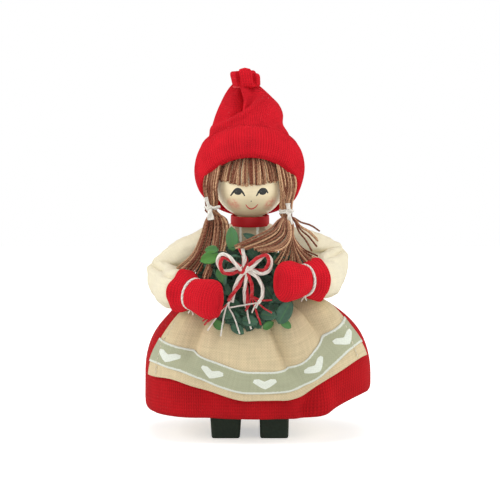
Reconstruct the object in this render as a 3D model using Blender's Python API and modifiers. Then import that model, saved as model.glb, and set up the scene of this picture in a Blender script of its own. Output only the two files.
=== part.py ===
"""Nordic Christmas girl doll: wooden head, spine and boots, stuffed cloth body, leaf wreath in both hands.

Metres, +Z up. The doll faces -Y with its left hand at +X, and it stands on z = 0. The middle of its
outline is moved onto the Z axis at the end.
"""

import math

import bmesh
import bpy
import numpy as np
from mathutils import Matrix, Vector

OBJECT_NAME = "tomte_girl_doll"
CLEARANCE = 0.0003
CUT_OVERRUN = 0.002

# Boots and legs
BOOT_WIDTH = 0.0158
BOOT_LENGTH = 0.0340
BOOT_HEIGHT = 0.0165
BOOT_ROUNDING = 0.0014
BOOT_SPACING = 0.0268
TOE_FORWARD = 0.0040
LEG_DIAMETER = 0.0100
LEG_IN_BOOT = 0.0080
LEG_IN_HIP = 0.0090

# Base board, hip disc and spine
BOARD_THICKNESS = 0.0022
BOARD_INSET = 0.0085
HIP_WALL = 0.0046
HIP_THICKNESS = 0.0140
SPINE_DIAMETER = 0.0100
SPINE_IN_HIP = 0.0090
SPINE_IN_HEAD = 0.0130

# Torso
TORSO_LENGTH = 0.0655
CHEST_RADIUS = 0.0156
WAIST_RADIUS = 0.0150
HIPS_RADIUS = 0.0195
NECK_RADIUS = 0.0090
NECK_LENGTH = 0.0070
SHOULDER_SLOPE = 0.0050
SHOULDER_DROP = 0.0128
TORSO_BELOW_WAIST = 0.0307

# Skirt: gathered neck, bell and hem
SKIRT_LENGTH = 0.0710
SKIRT_NECK = 0.0050
SKIRT_THICKNESS = 0.0015
SKIRT_RIGHT = 0.0580
SKIRT_LEFT = 0.0668
SKIRT_DEPTH = 0.0440
SKIRT_SQUARENESS = 3.0
HEM_BELOW_BOARD = 0.0018
HEM_LIFT = 0.0095
FOLD_GROWTH = 1.3

# Folds down the skirt: angle from the front towards the doll's left, half width in degrees, height
FOLDS = (
    (-47.0, 10.0, 0.0016),
    (-32.0, 8.0, -0.0026),
    (0.0, 16.0, 0.0012),
    (23.0, 7.0, -0.0020),
    (33.0, 6.0, 0.0012),
    (45.0, 8.0, -0.0026),
    (66.0, 12.0, 0.0016),
    (120.0, 16.0, -0.0022),
    (155.0, 14.0, 0.0020),
    (-150.0, 16.0, -0.0020),
    (-110.0, 14.0, 0.0014),
)

# Padding
PADDING_INSET = 0.0045
PADDING_TOP_DROP = 0.0100

# Apron, woven band, waistband and bib
APRON_THICKNESS = 0.0008
APRON_EASE = 0.0006
APRON_HALF_ANGLE = 80.0
APRON_TOP_DROP = 0.0022
APRON_ABOVE_HEM = 0.0097
APRON_LIFT_RIGHT = 0.0108
APRON_LIFT_LEFT = 0.0202
BAND_WIDTH = 0.0118
BAND_ABOVE_HEM = 0.0055
BAND_THICKNESS = 0.0005
WAISTBAND_THICKNESS = 0.0009
BIB_THICKNESS = 0.0008
BIB_HALF_ANGLE = 62.0

# Collar ribbon
COLLAR_WIDTH = 0.0062
COLLAR_THICKNESS = 0.0012

# Arms
ARM_WIRE_DIAMETER = 0.0020
SLEEVE_SHOULDER = 0.0085
SLEEVE_UPPER = 0.0106
SLEEVE_ELBOW = 0.0124
SLEEVE_FOREARM = 0.0118
SLEEVE_RISE = 0.0012
CUFF_MOUTH = 0.0106
CUFF_FLOOR = 0.0083
CUFF_WALL = 0.0013
CUFF_LENGTH = 0.0060
WRIST_RADIUS = 0.0079
HAND_HALF_HEIGHT = 0.0112
HAND_HALF_DEPTH = 0.0080
HAND_LENGTH = 0.0215
WRIST_TIE_DIAMETER = 0.0018

# Arm routes from the shoulder's height, for the doll's right and left, and the way each hand points
RIGHT_ELBOW = (-0.0445, -0.0040, -0.0175)
RIGHT_FOREARM = (-0.0452, -0.0200, -0.0218)
RIGHT_HAND_WAY = (0.74, -0.66, -0.14)
LEFT_ELBOW = (0.0425, -0.0040, -0.0115)
LEFT_FOREARM = (0.0445, -0.0200, -0.0155)
LEFT_HAND_WAY = (-0.74, -0.66, 0.03)

# Wrists from the wreath: out past its leaves, forward past the hand's half depth, and up
RIGHT_GRIP = (0.0060, 0.0022, -0.0037)
LEFT_GRIP = (0.0082, 0.0000, 0.0035)

# Wreath
WREATH_ASIDE = -0.0015
WREATH_BEHIND_SKIRT = 0.0105
WREATH_ABOVE_WAIST = 0.0010
WREATH_RADIUS = 0.0170
WREATH_LEAN = 14.0
WREATH_WIRE_DIAMETER = 0.0016
SPRIGS = 6
SPRIG_GAP = 12.0
STEM_DIAMETER = 0.0026
LEAVES_PER_SPRIG = 5
LEAF_LENGTH = 0.0105
LEAF_WIDTH = 0.0062
LEAF_THICKNESS = 0.0011
LEAF_SWEEP = 0.40
HITCH_ANGLE = 98.0

# Leaves in turn: share outwards from the ring, negative for inwards, and share forwards
LEAF_WAYS = ((-0.85, 0.20), (1.0, 0.06), (0.75, 0.45))

# Yarn bow on the wreath
HITCH_HALF_HEIGHT = 0.0046
HITCH_HALF_DEPTH = 0.0026
HITCH_SLANT = 42.0
BOW_YARN_DIAMETER = 0.0024
KNOT_RADIUS = 0.0026
LOOP_LENGTH = 0.0135
LOOP_HALF_WIDTH = 0.0042
TAIL_LENGTH = 0.0370

# Head
HEAD_DIAMETER = 0.0400
HAIR_THICKNESS = 0.0020
FRINGE_HALF_ANGLE = 44.0
FRINGE_LOW = 5.0
FRINGE_HIGH = 50.0
FRINGE_RAGGED = 2.0

# Hair at the sides, its ties and the loose pigtails
LOCK_WIDTH = 0.0100
TIE_RADIUS = 0.0030
TIE_YARN_DIAMETER = 0.0022
TIE_RIGHT = (-0.0233, -0.0125, -0.0135)
TIE_LEFT = (0.0216, -0.0128, -0.0148)

# Loose strands of the pigtails from their tie: a point on the way, the end, half the width and depth there
RIGHT_STRANDS = (
    ((-0.0012, -0.0065, -0.0149), (-0.0035, -0.0137, -0.0284), 0.0115, 0.0042),
    ((-0.0067, -0.0060, -0.0149), (-0.0162, -0.0115, -0.0279), 0.0040, 0.0036),
)
LEFT_STRANDS = (
    ((-0.0016, -0.0122, -0.0121), (-0.0046, -0.0272, -0.0176), 0.0044, 0.0034),
    ((-0.0086, -0.0212, -0.0081), (-0.0291, -0.0312, -0.0146), 0.0040, 0.0032),
    ((0.0054, -0.0102, -0.0106), (0.0129, -0.0182, -0.0191), 0.0040, 0.0030),
    ((0.0059, -0.0022, -0.0076), (0.0159, -0.0037, -0.0131), 0.0030, 0.0024),
)

# Cap
RIM_TILT = 44.0
TIP_TILT = 5.0
TILT_POWER = 0.6
RIM_BELOW_CENTRE = 0.0040
CROWN_LENGTH = 0.0603
CROWN_THICKNESS = 0.0013
CROWN_SHOULDER = 0.35
CROWN_ROUNDING = 2.2
CROWN_NECK = 0.0066
CROWN_LEAN = -0.0035
CAP_COLUMNS = 28
GATHERS = 7
GATHER_DEPTH = 0.16
CUFF_HEIGHT = 0.0245
CUFF_THICKNESS = 0.0036
CUFF_BULGE = 0.0026
TUFT_RADIUS = 0.0078
TUFT_HEIGHT = 0.0085
TUFT_STEM = 0.0042
TUFT_TIE_DIAMETER = 0.0016

# Heights and places that follow from the sizes above
BOARD_Z = BOOT_HEIGHT + CLEARANCE
BOARD_TOP_Z = BOARD_Z + BOARD_THICKNESS
BOARD_HALF_WIDTH = min(SKIRT_RIGHT, SKIRT_LEFT) - BOARD_INSET
BOARD_HALF_DEPTH = SKIRT_DEPTH - BOARD_INSET
HEM_Z = BOARD_Z - HEM_BELOW_BOARD
WAIST_Z = HEM_Z + SKIRT_LENGTH
TORSO_Z = WAIST_Z - TORSO_BELOW_WAIST
TORSO_TOP_Z = TORSO_Z + TORSO_LENGTH
HIP_DIAMETER = BOOT_SPACING + LEG_DIAMETER + 2 * HIP_WALL
HIP_TOP_Z = TORSO_Z - CLEARANCE
HIP_Z = HIP_TOP_Z - HIP_THICKNESS
SHOULDER_Z = TORSO_TOP_Z - SHOULDER_DROP
SHOULDER_X = CHEST_RADIUS + CLEARANCE
SKIRT_NECK_RADIUS = WAIST_RADIUS + CLEARANCE + SKIRT_THICKNESS
SHOULDER_HEIGHT = np.array([0.0, 0.0, SHOULDER_Z])
WREATH_CENTRE = np.array([WREATH_ASIDE, WREATH_BEHIND_SKIRT - SKIRT_DEPTH, WAIST_Z + WREATH_ABOVE_WAIST])
HEAD_RADIUS = HEAD_DIAMETER / 2
SPINE_BORE = SPINE_DIAMETER / 2 + CLEARANCE
HEAD_Z = TORSO_TOP_Z + CLEARANCE + math.sqrt(HEAD_RADIUS**2 - SPINE_BORE**2)
HEAD_CENTRE = Vector((0.0, 0.0, HEAD_Z))
HAIR_RADIUS = HEAD_RADIUS + CLEARANCE + HAIR_THICKNESS
CROWN_RADIUS = HAIR_RADIUS + CLEARANCE + CROWN_THICKNESS
HEAD_SOCKET_Z = HEAD_Z - math.sqrt(HEAD_RADIUS**2 - SPINE_BORE**2)
SPINE_TOP_Z = HEAD_SOCKET_Z + SPINE_IN_HEAD

# Colours, roughness and metallic value of each material
FINISHES = {
    "black_paint": ("#262B27", 0.45, 0.0),
    "bare_wood": ("#D9C296", 0.60, 0.0),
    "painted_wood": ("#E3D2AC", 0.42, 0.0),
    "wadding": ("#E9E4D6", 0.95, 0.0),
    "cream_cotton": ("#EFE7CB", 0.90, 0.0),
    "red_rib": ("#B5161D", 0.92, 0.0),
    "red_knit": ("#D0202C", 0.90, 0.0),
    "beige_linen": ("#D5BF97", 0.92, 0.0),
    "sage_ribbon": ("#B5B595", 0.85, 0.0),
    "red_satin": ("#9E141B", 0.40, 0.0),
    "brown_yarn": ("#744A38", 0.95, 0.0),
    "white_yarn": ("#E4DFD2", 0.95, 0.0),
    "bow_yarn": ("#C2343A", 0.92, 0.0),
    "leaf_green": ("#4C7046", 0.60, 0.0),
    "steel_wire": ("#9C9C98", 0.35, 1.0),
}


def clear_scene():
    """Start from an empty scene."""
    for item in list(bpy.data.objects):
        bpy.data.objects.remove(item, do_unlink=True)


def new_collection(name):
    """A collection linked to the scene."""
    collection = bpy.data.collections.new(name)
    bpy.context.scene.collection.children.link(collection)
    return collection


def linear(hex_colour):
    """Scene-linear RGBA of a hex colour."""
    channels = [int(hex_colour[i : i + 2], 16) / 255 for i in (1, 3, 5)]
    return [c / 12.92 if c <= 0.04045 else ((c + 0.055) / 1.055) ** 2.4 for c in channels] + [1.0]


def material(finish):
    """The Principled material of a finish, made once."""
    if finish in bpy.data.materials:
        return bpy.data.materials[finish]
    colour, roughness, metallic = FINISHES[finish]
    made = bpy.data.materials.new(finish)
    made.use_nodes = True
    shader = made.node_tree.nodes["Principled BSDF"]
    shader.inputs["Base Color"].default_value = linear(colour)
    shader.inputs["Roughness"].default_value = roughness
    shader.inputs["Metallic"].default_value = metallic
    made.diffuse_color = linear(colour)
    return made


def empty(name, place, parent=None):
    """An empty that carries the pieces of one body."""
    holder = bpy.data.objects.new(name, None)
    holder.location = place
    bpy.data.collections[OBJECT_NAME].objects.link(holder)
    if parent:
        attach(holder, parent)
    return holder


def attach(item, parent):
    """Parent an item without moving it."""
    bpy.context.view_layer.update()
    item.parent = parent
    item.matrix_parent_inverse = parent.matrix_world.inverted()


def add_piece(name, data, finish, body, sharp=40.0):
    """Link a mesh or curve as a named piece of a body."""
    piece = bpy.data.objects.new(name, data)
    bpy.data.collections[OBJECT_NAME].objects.link(piece)
    data.materials.append(material(finish))
    if piece.type == "MESH":
        data.shade_smooth()
        data.set_sharp_from_angle(angle=math.radians(sharp))
    attach(piece, bpy.data.objects[body])
    return piece


def add_cutter(name, data):
    """Link a mesh that only cuts or joins."""
    cutter = bpy.data.objects.new(name, data)
    bpy.data.collections["cutters"].objects.link(cutter)
    cutter.hide_render = True
    cutter.display_type = "WIRE"
    attach(cutter, bpy.data.objects["doll"])
    return cutter


def combine(piece, cutter, operation):
    """Cut or join a piece with a cutter by an exact Boolean."""
    change = piece.modifiers.new(operation.title() + "_" + cutter.name, "BOOLEAN")
    change.operation = operation
    change.solver = "EXACT"
    change.object = cutter


def solidify(piece, thickness, outward):
    """Give an open surface its thickness on one side."""
    wall = piece.modifiers.new("Wall", "SOLIDIFY")
    wall.thickness = thickness
    wall.offset = 1.0 if outward else -1.0


def mesh_from(bm, name):
    """Turn a bmesh into a mesh whose faces point outwards."""
    bmesh.ops.recalc_face_normals(bm, faces=bm.faces)
    mesh = bpy.data.meshes.new(name)
    bm.to_mesh(mesh)
    bm.free()
    return mesh


def rod(name, radius, start, end, segments=16):
    """A capped cylinder between two points."""
    start, end = Vector(start), Vector(end)
    way = end - start
    turn = way.to_track_quat("Z", "Y").to_matrix().to_4x4()
    bm = bmesh.new()
    bmesh.ops.create_cone(
        bm,
        cap_ends=True,
        segments=segments,
        radius1=radius,
        radius2=radius,
        depth=way.length,
        matrix=Matrix.Translation((start + end) / 2) @ turn,
    )
    return mesh_from(bm, name)


def loft(name, rings, wrap=True, caps=True):
    """Skin a stack of sections, each an array of points in the same order."""
    rings = np.asarray(rings)
    levels, count = rings.shape[:2]
    around = count if wrap else count - 1
    faces = []
    for level in range(levels - 1):
        for i in range(around):
            low = level * count + i
            side = level * count + (i + 1) % count
            faces.append((low, side, side + count, low + count))
    if caps:
        faces.append(tuple(reversed(range(count))))
        faces.append(tuple(range((levels - 1) * count, levels * count)))
    mesh = bpy.data.meshes.new(name)
    mesh.from_pydata(rings.reshape(-1, 3).tolist(), [], faces)
    if not caps:
        return mesh
    bm = bmesh.new()
    bm.from_mesh(mesh)
    bpy.data.meshes.remove(mesh)
    return mesh_from(bm, name)


def smooth_path(points, spans):
    """Points along a Catmull-Rom curve through the given points, any number of columns."""
    points = np.asarray(points, dtype=float)
    ends = np.vstack([2 * points[0] - points[1], points, 2 * points[-1] - points[-2]])
    t = np.linspace(0, 1, spans, endpoint=False)[:, None]
    runs = []
    for a, b, c, d in zip(ends, ends[1:], ends[2:], ends[3:]):
        runs.append(0.5 * (2 * b + (c - a) * t + (2 * a - 5 * b + 4 * c - d) * t**2 + (3 * b - a - 3 * c + d) * t**3))
    return np.vstack(runs + [points[-1:]])


def tube_curve(name, points, radii, resolution=2, cyclic=False):
    """A tube along points, as a curve with a bevel and filled caps."""
    curve = bpy.data.curves.new(name, "CURVE")
    curve.dimensions = "3D"
    curve.bevel_depth = 1.0
    curve.bevel_resolution = resolution
    curve.use_fill_caps = True
    spline = curve.splines.new("POLY")
    spline.points.add(len(points) - 1)
    spline.use_cyclic_u = cyclic
    for spot, place, radius in zip(spline.points, points, np.broadcast_to(radii, len(points))):
        spot.co = (*place, 1.0)
        spot.radius = radius
    return curve


def tube_mesh(name, points, radii, resolution=2):
    """The same tube as a closed mesh, ready to be cut or joined."""
    guide = bpy.data.objects.new(name + "_guide", tube_curve(name, points, radii, resolution))
    bpy.context.scene.collection.objects.link(guide)
    graph = bpy.context.evaluated_depsgraph_get()
    mesh = bpy.data.meshes.new_from_object(guide.evaluated_get(graph))
    bpy.data.objects.remove(guide)
    bm = bmesh.new()
    bm.from_mesh(mesh)
    bpy.data.meshes.remove(mesh)
    bmesh.ops.remove_doubles(bm, verts=bm.verts, dist=1e-6)
    return mesh_from(bm, name)


def turned(name, profile, finish, body, steps=24, degrees=360.0):
    """A profile of (radius, height) points turned about Z, listed from top to bottom."""
    mesh = bpy.data.meshes.new(name)
    corners = [(radius, 0.0, height) for radius, height in profile]
    mesh.from_pydata(corners, [(i, i + 1) for i in range(len(corners) - 1)], [])
    piece = add_piece(name, mesh, finish, body)
    screw = piece.modifiers.new("Turn", "SCREW")
    screw.steps = steps
    screw.render_steps = steps
    screw.angle = math.radians(degrees)
    screw.use_merge_vertices = degrees == 360.0
    screw.merge_threshold = 0.00005
    return piece


def ellipse(centre, across, along, count):
    """A ring of points on an ellipse whose half axes are two vectors."""
    angles = np.linspace(0, 2 * math.pi, count, endpoint=False)[:, None]
    return np.asarray(centre) + np.cos(angles) * np.asarray(across) + np.sin(angles) * np.asarray(along)


def smoothstep(low, high, value):
    """0 below low, 1 above high, and smooth between."""
    t = np.clip((value - low) / (high - low), 0.0, 1.0)
    return t * t * (3 - 2 * t)


# Wooden frame


def make_boot(name, x):
    """A rounded block with a socket for the leg."""
    bm = bmesh.new()
    size = Matrix.Diagonal((BOOT_WIDTH, BOOT_LENGTH, BOOT_HEIGHT, 1.0))
    bmesh.ops.create_cube(bm, size=1.0, matrix=Matrix.Translation((x, -TOE_FORWARD, BOOT_HEIGHT / 2)) @ size)
    boot = add_piece(name, mesh_from(bm, name), "black_paint", "doll")
    rounding = boot.modifiers.new("Rounding", "BEVEL")
    rounding.width = BOOT_ROUNDING
    rounding.segments = 2
    floor = BOOT_HEIGHT - LEG_IN_BOOT - CLEARANCE
    bore = rod(name + "_socket", LEG_DIAMETER / 2 + CLEARANCE, (x, 0, floor), (x, 0, BOOT_HEIGHT + CUT_OVERRUN))
    combine(boot, add_cutter(name + "_socket", bore), "DIFFERENCE")


def make_leg(name, x):
    """A dowel from the boot's socket to the hip disc's."""
    low = (x, 0, BOOT_HEIGHT - LEG_IN_BOOT)
    high = (x, 0, HIP_Z + LEG_IN_HIP)
    add_piece(name, rod(name, LEG_DIAMETER / 2, low, high), "bare_wood", "doll")


def make_hip_disc():
    """The disc that joins both legs to the spine."""
    disc = add_piece(
        "hip_disc", rod("hip_disc", HIP_DIAMETER / 2, (0, 0, HIP_Z), (0, 0, HIP_TOP_Z), 32), "bare_wood", "doll"
    )
    for side in (-1, 1):
        x = side * BOOT_SPACING / 2
        top = HIP_Z + LEG_IN_HIP + CLEARANCE
        bore = rod("hip_leg_bore", LEG_DIAMETER / 2 + CLEARANCE, (x, 0, HIP_Z - CUT_OVERRUN), (x, 0, top))
        combine(disc, add_cutter(f"hip_leg_bore_{side + 1}", bore), "DIFFERENCE")
    floor = HIP_TOP_Z - SPINE_IN_HIP - CLEARANCE
    bore = rod("hip_spine_bore", SPINE_BORE, (0, 0, floor), (0, 0, HIP_TOP_Z + CUT_OVERRUN))
    combine(disc, add_cutter("hip_spine_bore", bore), "DIFFERENCE")


def make_spine():
    """The dowel from the hip disc to the head, drilled across for the arm wire."""
    low = (0, 0, HIP_TOP_Z - SPINE_IN_HIP)
    spine = add_piece("spine_dowel", rod("spine_dowel", SPINE_DIAMETER / 2, low, (0, 0, SPINE_TOP_Z)), "bare_wood", "doll")
    combine(spine, wire_bore("spine_wire_bore", SPINE_DIAMETER), "DIFFERENCE")


def wire_bore(name, length):
    """A cutter along the arm wire's straight middle."""
    half = length / 2 + CUT_OVERRUN
    radius = ARM_WIRE_DIAMETER / 2 + CLEARANCE
    return add_cutter(name, rod(name, radius, (-half, 0, SHOULDER_Z), (half, 0, SHOULDER_Z), 12))


def make_base_board():
    """The board under the padding, with holes for the legs."""
    outline = oval(BOARD_HALF_WIDTH, BOARD_HALF_WIDTH, BOARD_HALF_DEPTH, np.radians(np.arange(0, 360, 10)))
    rings = [np.column_stack([outline, np.full(len(outline), z)]) for z in (BOARD_Z, BOARD_TOP_Z)]
    board = add_piece("base_board", loft("base_board", rings), "bare_wood", "doll")
    for side in (-1, 1):
        x = side * BOOT_SPACING / 2
        low, high = (x, 0, BOARD_Z - CUT_OVERRUN), (x, 0, BOARD_TOP_Z + CUT_OVERRUN)
        bore = rod("board_leg_bore", LEG_DIAMETER / 2 + CLEARANCE, low, high)
        combine(board, add_cutter(f"board_leg_bore_{side + 1}", bore), "DIFFERENCE")


def make_head():
    """The wooden ball with its socket for the spine."""
    bm = bmesh.new()
    bmesh.ops.create_uvsphere(
        bm, u_segments=24, v_segments=14, radius=HEAD_RADIUS, matrix=Matrix.Translation(HEAD_CENTRE)
    )
    head = add_piece("head_ball", mesh_from(bm, "head_ball"), "painted_wood", "head")
    low = (0, 0, HEAD_Z - HEAD_RADIUS - CUT_OVERRUN)
    bore = rod("head_socket", SPINE_BORE, low, (0, 0, SPINE_TOP_Z + CLEARANCE))
    combine(head, add_cutter("head_socket", bore), "DIFFERENCE")


# Torso, skirt and apron


def make_torso():
    """The stuffed blouse body, bored for the spine and the arm wire."""
    top = TORSO_TOP_Z
    shoulder = top - NECK_LENGTH
    profile = (
        (0.0, top),
        (NECK_RADIUS, top),
        (NECK_RADIUS, shoulder),
        (0.5 * (NECK_RADIUS + CHEST_RADIUS) + 0.25 * SHOULDER_SLOPE, shoulder - 0.25 * SHOULDER_SLOPE),
        (CHEST_RADIUS, shoulder - SHOULDER_SLOPE),
        (CHEST_RADIUS, WAIST_Z + SKIRT_NECK + 4 * CLEARANCE),
        (WAIST_RADIUS, WAIST_Z + SKIRT_NECK),
        (WAIST_RADIUS, WAIST_Z - SKIRT_NECK),
        (HIPS_RADIUS, 0.35 * WAIST_Z + 0.65 * TORSO_Z),
        (0.9 * HIPS_RADIUS, TORSO_Z),
        (0.0, TORSO_Z),
    )
    torso = turned("torso", profile, "cream_cotton", "doll")
    low, high = (0, 0, TORSO_Z - CUT_OVERRUN), (0, 0, top + CUT_OVERRUN)
    combine(torso, add_cutter("torso_spine_bore", rod("torso_spine_bore", SPINE_BORE, low, high)), "DIFFERENCE")
    combine(torso, wire_bore("torso_wire_bore", 2 * CHEST_RADIUS), "DIFFERENCE")


def oval(right, left, depth, angles):
    """A squared oval in plan; angle 0 is the front, and the doll's left is at 90 degrees."""
    side = np.where(np.sin(angles) < 0, right, left)
    power = SKIRT_SQUARENESS
    reach = (np.abs(np.sin(angles) / side) ** power + np.abs(np.cos(angles) / depth) ** power) ** (-1 / power)
    return np.stack([reach * np.sin(angles), -reach * np.cos(angles)], axis=-1)


def bell(share, full, power):
    """How far the skirt has opened at a share of its length: fast below the waist, then nearly upright."""
    return 1 - (1 - np.clip(share / full, 0.0, 1.0)) ** power


def hem_height(angles):
    """The hem, lifted on the doll's left where the skirt flares."""
    turn = np.abs((np.degrees(angles) - 95.0 + 180.0) % 360.0 - 180.0)
    return HEM_Z + HEM_LIFT * smoothstep(-62.0, -10.0, -turn)


def skirt_point(angles, share):
    """The skirt's outer surface at an angle and a share of the way from waist to hem."""
    angles, share = np.broadcast_arrays(angles, share)
    right = SKIRT_NECK_RADIUS + (SKIRT_RIGHT - SKIRT_NECK_RADIUS) * bell(share, 0.75, 2.4)
    left = SKIRT_NECK_RADIUS + (SKIRT_LEFT - SKIRT_NECK_RADIUS) * bell(share, 0.90, 2.6)
    depth = SKIRT_NECK_RADIUS + (SKIRT_DEPTH - SKIRT_NECK_RADIUS) * bell(share, 0.75, 2.4)
    squared = oval(right, left, depth, angles)
    round_neck = SKIRT_NECK_RADIUS * np.stack([np.sin(angles), -np.cos(angles)], axis=-1)
    plan = round_neck + (squared - round_neck) * smoothstep(0.0, 0.25, share)[..., None]
    fold = np.zeros(share.shape)
    for middle, half, height in FOLDS:
        gap = (np.degrees(angles) - middle + 180.0) % 360.0 - 180.0
        fold = fold + height * np.exp(-((gap / half) ** 2))
    reach = np.linalg.norm(plan, axis=-1)
    plan = plan * (1 + fold * np.clip(share, 0, 1) ** FOLD_GROWTH / reach)[..., None]
    height = WAIST_Z + (hem_height(angles) - WAIST_Z) * share
    return np.concatenate([plan, height[..., None]], axis=-1)


def skirt_offset(angles, share, distance):
    """A surface at a distance outside the skirt's."""
    step = 1e-4
    along = skirt_point(angles + step, share) - skirt_point(angles - step, share)
    down = skirt_point(angles, share + step) - skirt_point(angles, share - step)
    normal = np.cross(down, along)
    normal = normal / np.linalg.norm(normal, axis=-1, keepdims=True)
    return skirt_point(angles, share) + normal * distance


def front_angles():
    """The columns that the skirt's front, the apron and its band share."""
    return np.radians(np.linspace(-APRON_HALF_ANGLE, APRON_HALF_ANGLE, 33))


def cloth_shares(count):
    """Shares of a cloth's length, closer together near the waist where it bends most."""
    return np.linspace(0.0, 1.0, count) ** 1.6


def make_skirt():
    """The gathered neck and the bell with its main folds, as one cloth wall."""
    back = np.radians(np.linspace(APRON_HALF_ANGLE, 360.0 - APRON_HALF_ANGLE, 15)[1:-1])
    angles = np.concatenate([front_angles(), back])
    neck = SKIRT_NECK_RADIUS * np.stack([np.sin(angles), -np.cos(angles)], axis=-1)
    rings = [np.column_stack([neck, np.full(len(angles), WAIST_Z + SKIRT_NECK)])]
    for share in cloth_shares(10):
        rings.append(skirt_point(angles, share))
    skirt = add_piece("skirt", loft("skirt", rings[::-1], caps=False), "red_rib", "doll")
    solidify(skirt, SKIRT_THICKNESS, outward=False)


def make_padding():
    """The wadding ring between the hip disc and the skirt."""
    angles = np.radians(np.arange(-180, 180, 15))
    board = np.linalg.norm(oval(BOARD_HALF_WIDTH, BOARD_HALF_WIDTH, BOARD_HALF_DEPTH, angles), axis=-1)
    top = WAIST_Z - PADDING_TOP_DROP
    rings = []
    for height in np.linspace(BOARD_TOP_Z + CLEARANCE, top, 7):
        share = (WAIST_Z - height) / (WAIST_Z - hem_height(angles))
        plan = skirt_point(angles, share)[:, :2]
        reach = np.linalg.norm(plan, axis=-1)
        limit = np.minimum(reach - PADDING_INSET - SKIRT_THICKNESS, board)
        rings.append(np.column_stack([plan * (limit / reach)[:, None], np.full(len(angles), height)]))
    padding = add_piece("skirt_padding", loft("skirt_padding", rings), "wadding", "doll")
    low, high = (0, 0, BOARD_Z), (0, 0, top + CUT_OVERRUN)
    bore = rod("padding_bore", HIP_DIAMETER / 2 + CLEARANCE, low, high, 32)
    combine(padding, add_cutter("padding_bore", bore), "DIFFERENCE")


def apron_height(angles, above_hem):
    """Height of a line on the apron that runs a set distance above its hem."""
    degrees = np.degrees(angles)
    lift = APRON_LIFT_RIGHT * smoothstep(0.0, 58.0, -degrees) + APRON_LIFT_LEFT * smoothstep(22.0, 68.0, degrees)
    return HEM_Z + APRON_ABOVE_HEM + lift + above_hem


def on_skirt(angles, height, distance):
    """A point outside the skirt at an angle and a height."""
    share = (WAIST_Z - height) / (WAIST_Z - hem_height(angles))
    return skirt_offset(angles, share, distance)


def make_apron():
    """The linen sheet over the front of the skirt, following its folds."""
    angles = front_angles()
    hem = apron_height(angles, 0.0)
    top = WAIST_Z - APRON_TOP_DROP
    rows = [on_skirt(angles, top + (hem - top) * share, APRON_EASE) for share in cloth_shares(9)[::-1]]
    apron = add_piece("apron", loft("apron", rows, wrap=False, caps=False), "beige_linen", "doll")
    solidify(apron, APRON_THICKNESS, outward=True)


def make_heart_band():
    """The woven ribbon sewn along the apron's hem."""
    angles = front_angles()
    distance = 2 * APRON_EASE + APRON_THICKNESS
    rows = []
    for share in (0.0, 0.5, 1.0):
        height = apron_height(angles, BAND_ABOVE_HEM + BAND_WIDTH * share)
        rows.append(on_skirt(angles, height, distance))
    band = add_piece("heart_band", loft("heart_band", rows, wrap=False, caps=False), "sage_ribbon", "doll")
    solidify(band, BAND_THICKNESS, outward=True)


def make_waistband():
    """The apron's band round the skirt's gathered neck."""
    inner = SKIRT_NECK_RADIUS + CLEARANCE
    outer = inner + WAISTBAND_THICKNESS
    low, high = WAIST_Z + CLEARANCE, WAIST_Z + SKIRT_NECK
    ring = ((inner, high), (outer, high), (outer, low), (inner, low), (inner, high))
    turned("waistband", ring, "beige_linen", "doll")


def make_bib():
    """The apron's chest panel, laid round the front of the torso."""
    inner = CHEST_RADIUS + CLEARANCE
    low = WAIST_Z + SKIRT_NECK + 5 * CLEARANCE
    high = TORSO_TOP_Z - NECK_LENGTH - SHOULDER_SLOPE
    angles = np.radians(np.linspace(-BIB_HALF_ANGLE, BIB_HALF_ANGLE, 15))
    plan = inner * np.stack([np.sin(angles), -np.cos(angles)], axis=-1)
    rows = [np.column_stack([plan, np.full(len(angles), z)]) for z in np.linspace(low, high, 3)]
    bib = add_piece("bib", loft("bib", rows, wrap=False, caps=False), "beige_linen", "doll")
    solidify(bib, BIB_THICKNESS, outward=True)


def make_collar():
    """The satin ribbon round the neck, bulged like a folded ribbon."""
    inner = NECK_RADIUS + CLEARANCE
    outer = inner + COLLAR_THICKNESS
    high = HEAD_Z - math.sqrt(HEAD_RADIUS**2 - inner**2) - CLEARANCE
    low = high - COLLAR_WIDTH
    middle = (low + high) / 2
    ring = ((inner, high), (outer, high), (outer + COLLAR_THICKNESS / 2, middle), (outer, low), (inner, low), (inner, high))
    turned("collar_ribbon", ring, "red_satin", "doll")


# Arms, mittens and wreath


def wrist_place(side, grip):
    """A wrist beside the wreath, clear of its leaves."""
    out, forward, up = grip
    return WREATH_CENTRE + [side * (WREATH_RADIUS + LEAF_LENGTH + out), -HAND_HALF_DEPTH - forward, up]


def arm_route(side, elbow, forearm, wrist, hand_way):
    """The sleeve's path and radii from the torso to the mitten's cup."""
    elbow, forearm = SHOULDER_HEIGHT + elbow, SHOULDER_HEIGHT + forearm
    way = np.asarray(Vector(hand_way).normalized())
    start = np.array([side * SHOULDER_X, 0.0, SHOULDER_Z])
    out = np.array([side * SLEEVE_SHOULDER, 0.0, 0.0])
    end = wrist - way * (CUFF_LENGTH / 2 + CLEARANCE)
    lip = wrist - way * 1.35 * CUFF_LENGTH
    mouth = wrist - way * 2.3 * CUFF_LENGTH
    upper = 0.5 * (start + out + elbow) + np.array([0.0, 0.0, SLEEVE_RISE])
    places = [start + 0.3 * out, upper, elbow, forearm, mouth, lip, end]
    radii = [
        0.7 * SLEEVE_SHOULDER + 0.3 * SLEEVE_UPPER,
        SLEEVE_UPPER,
        SLEEVE_ELBOW,
        SLEEVE_FOREARM,
        CUFF_MOUTH - 3 * CLEARANCE,
        CUFF_MOUTH - 5 * CLEARANCE,
        CUFF_FLOOR - 3 * CLEARANCE,
    ]
    route = smooth_path(np.column_stack([places, radii]), 3)
    return np.vstack([np.append(start, SLEEVE_SHOULDER), route])


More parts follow.
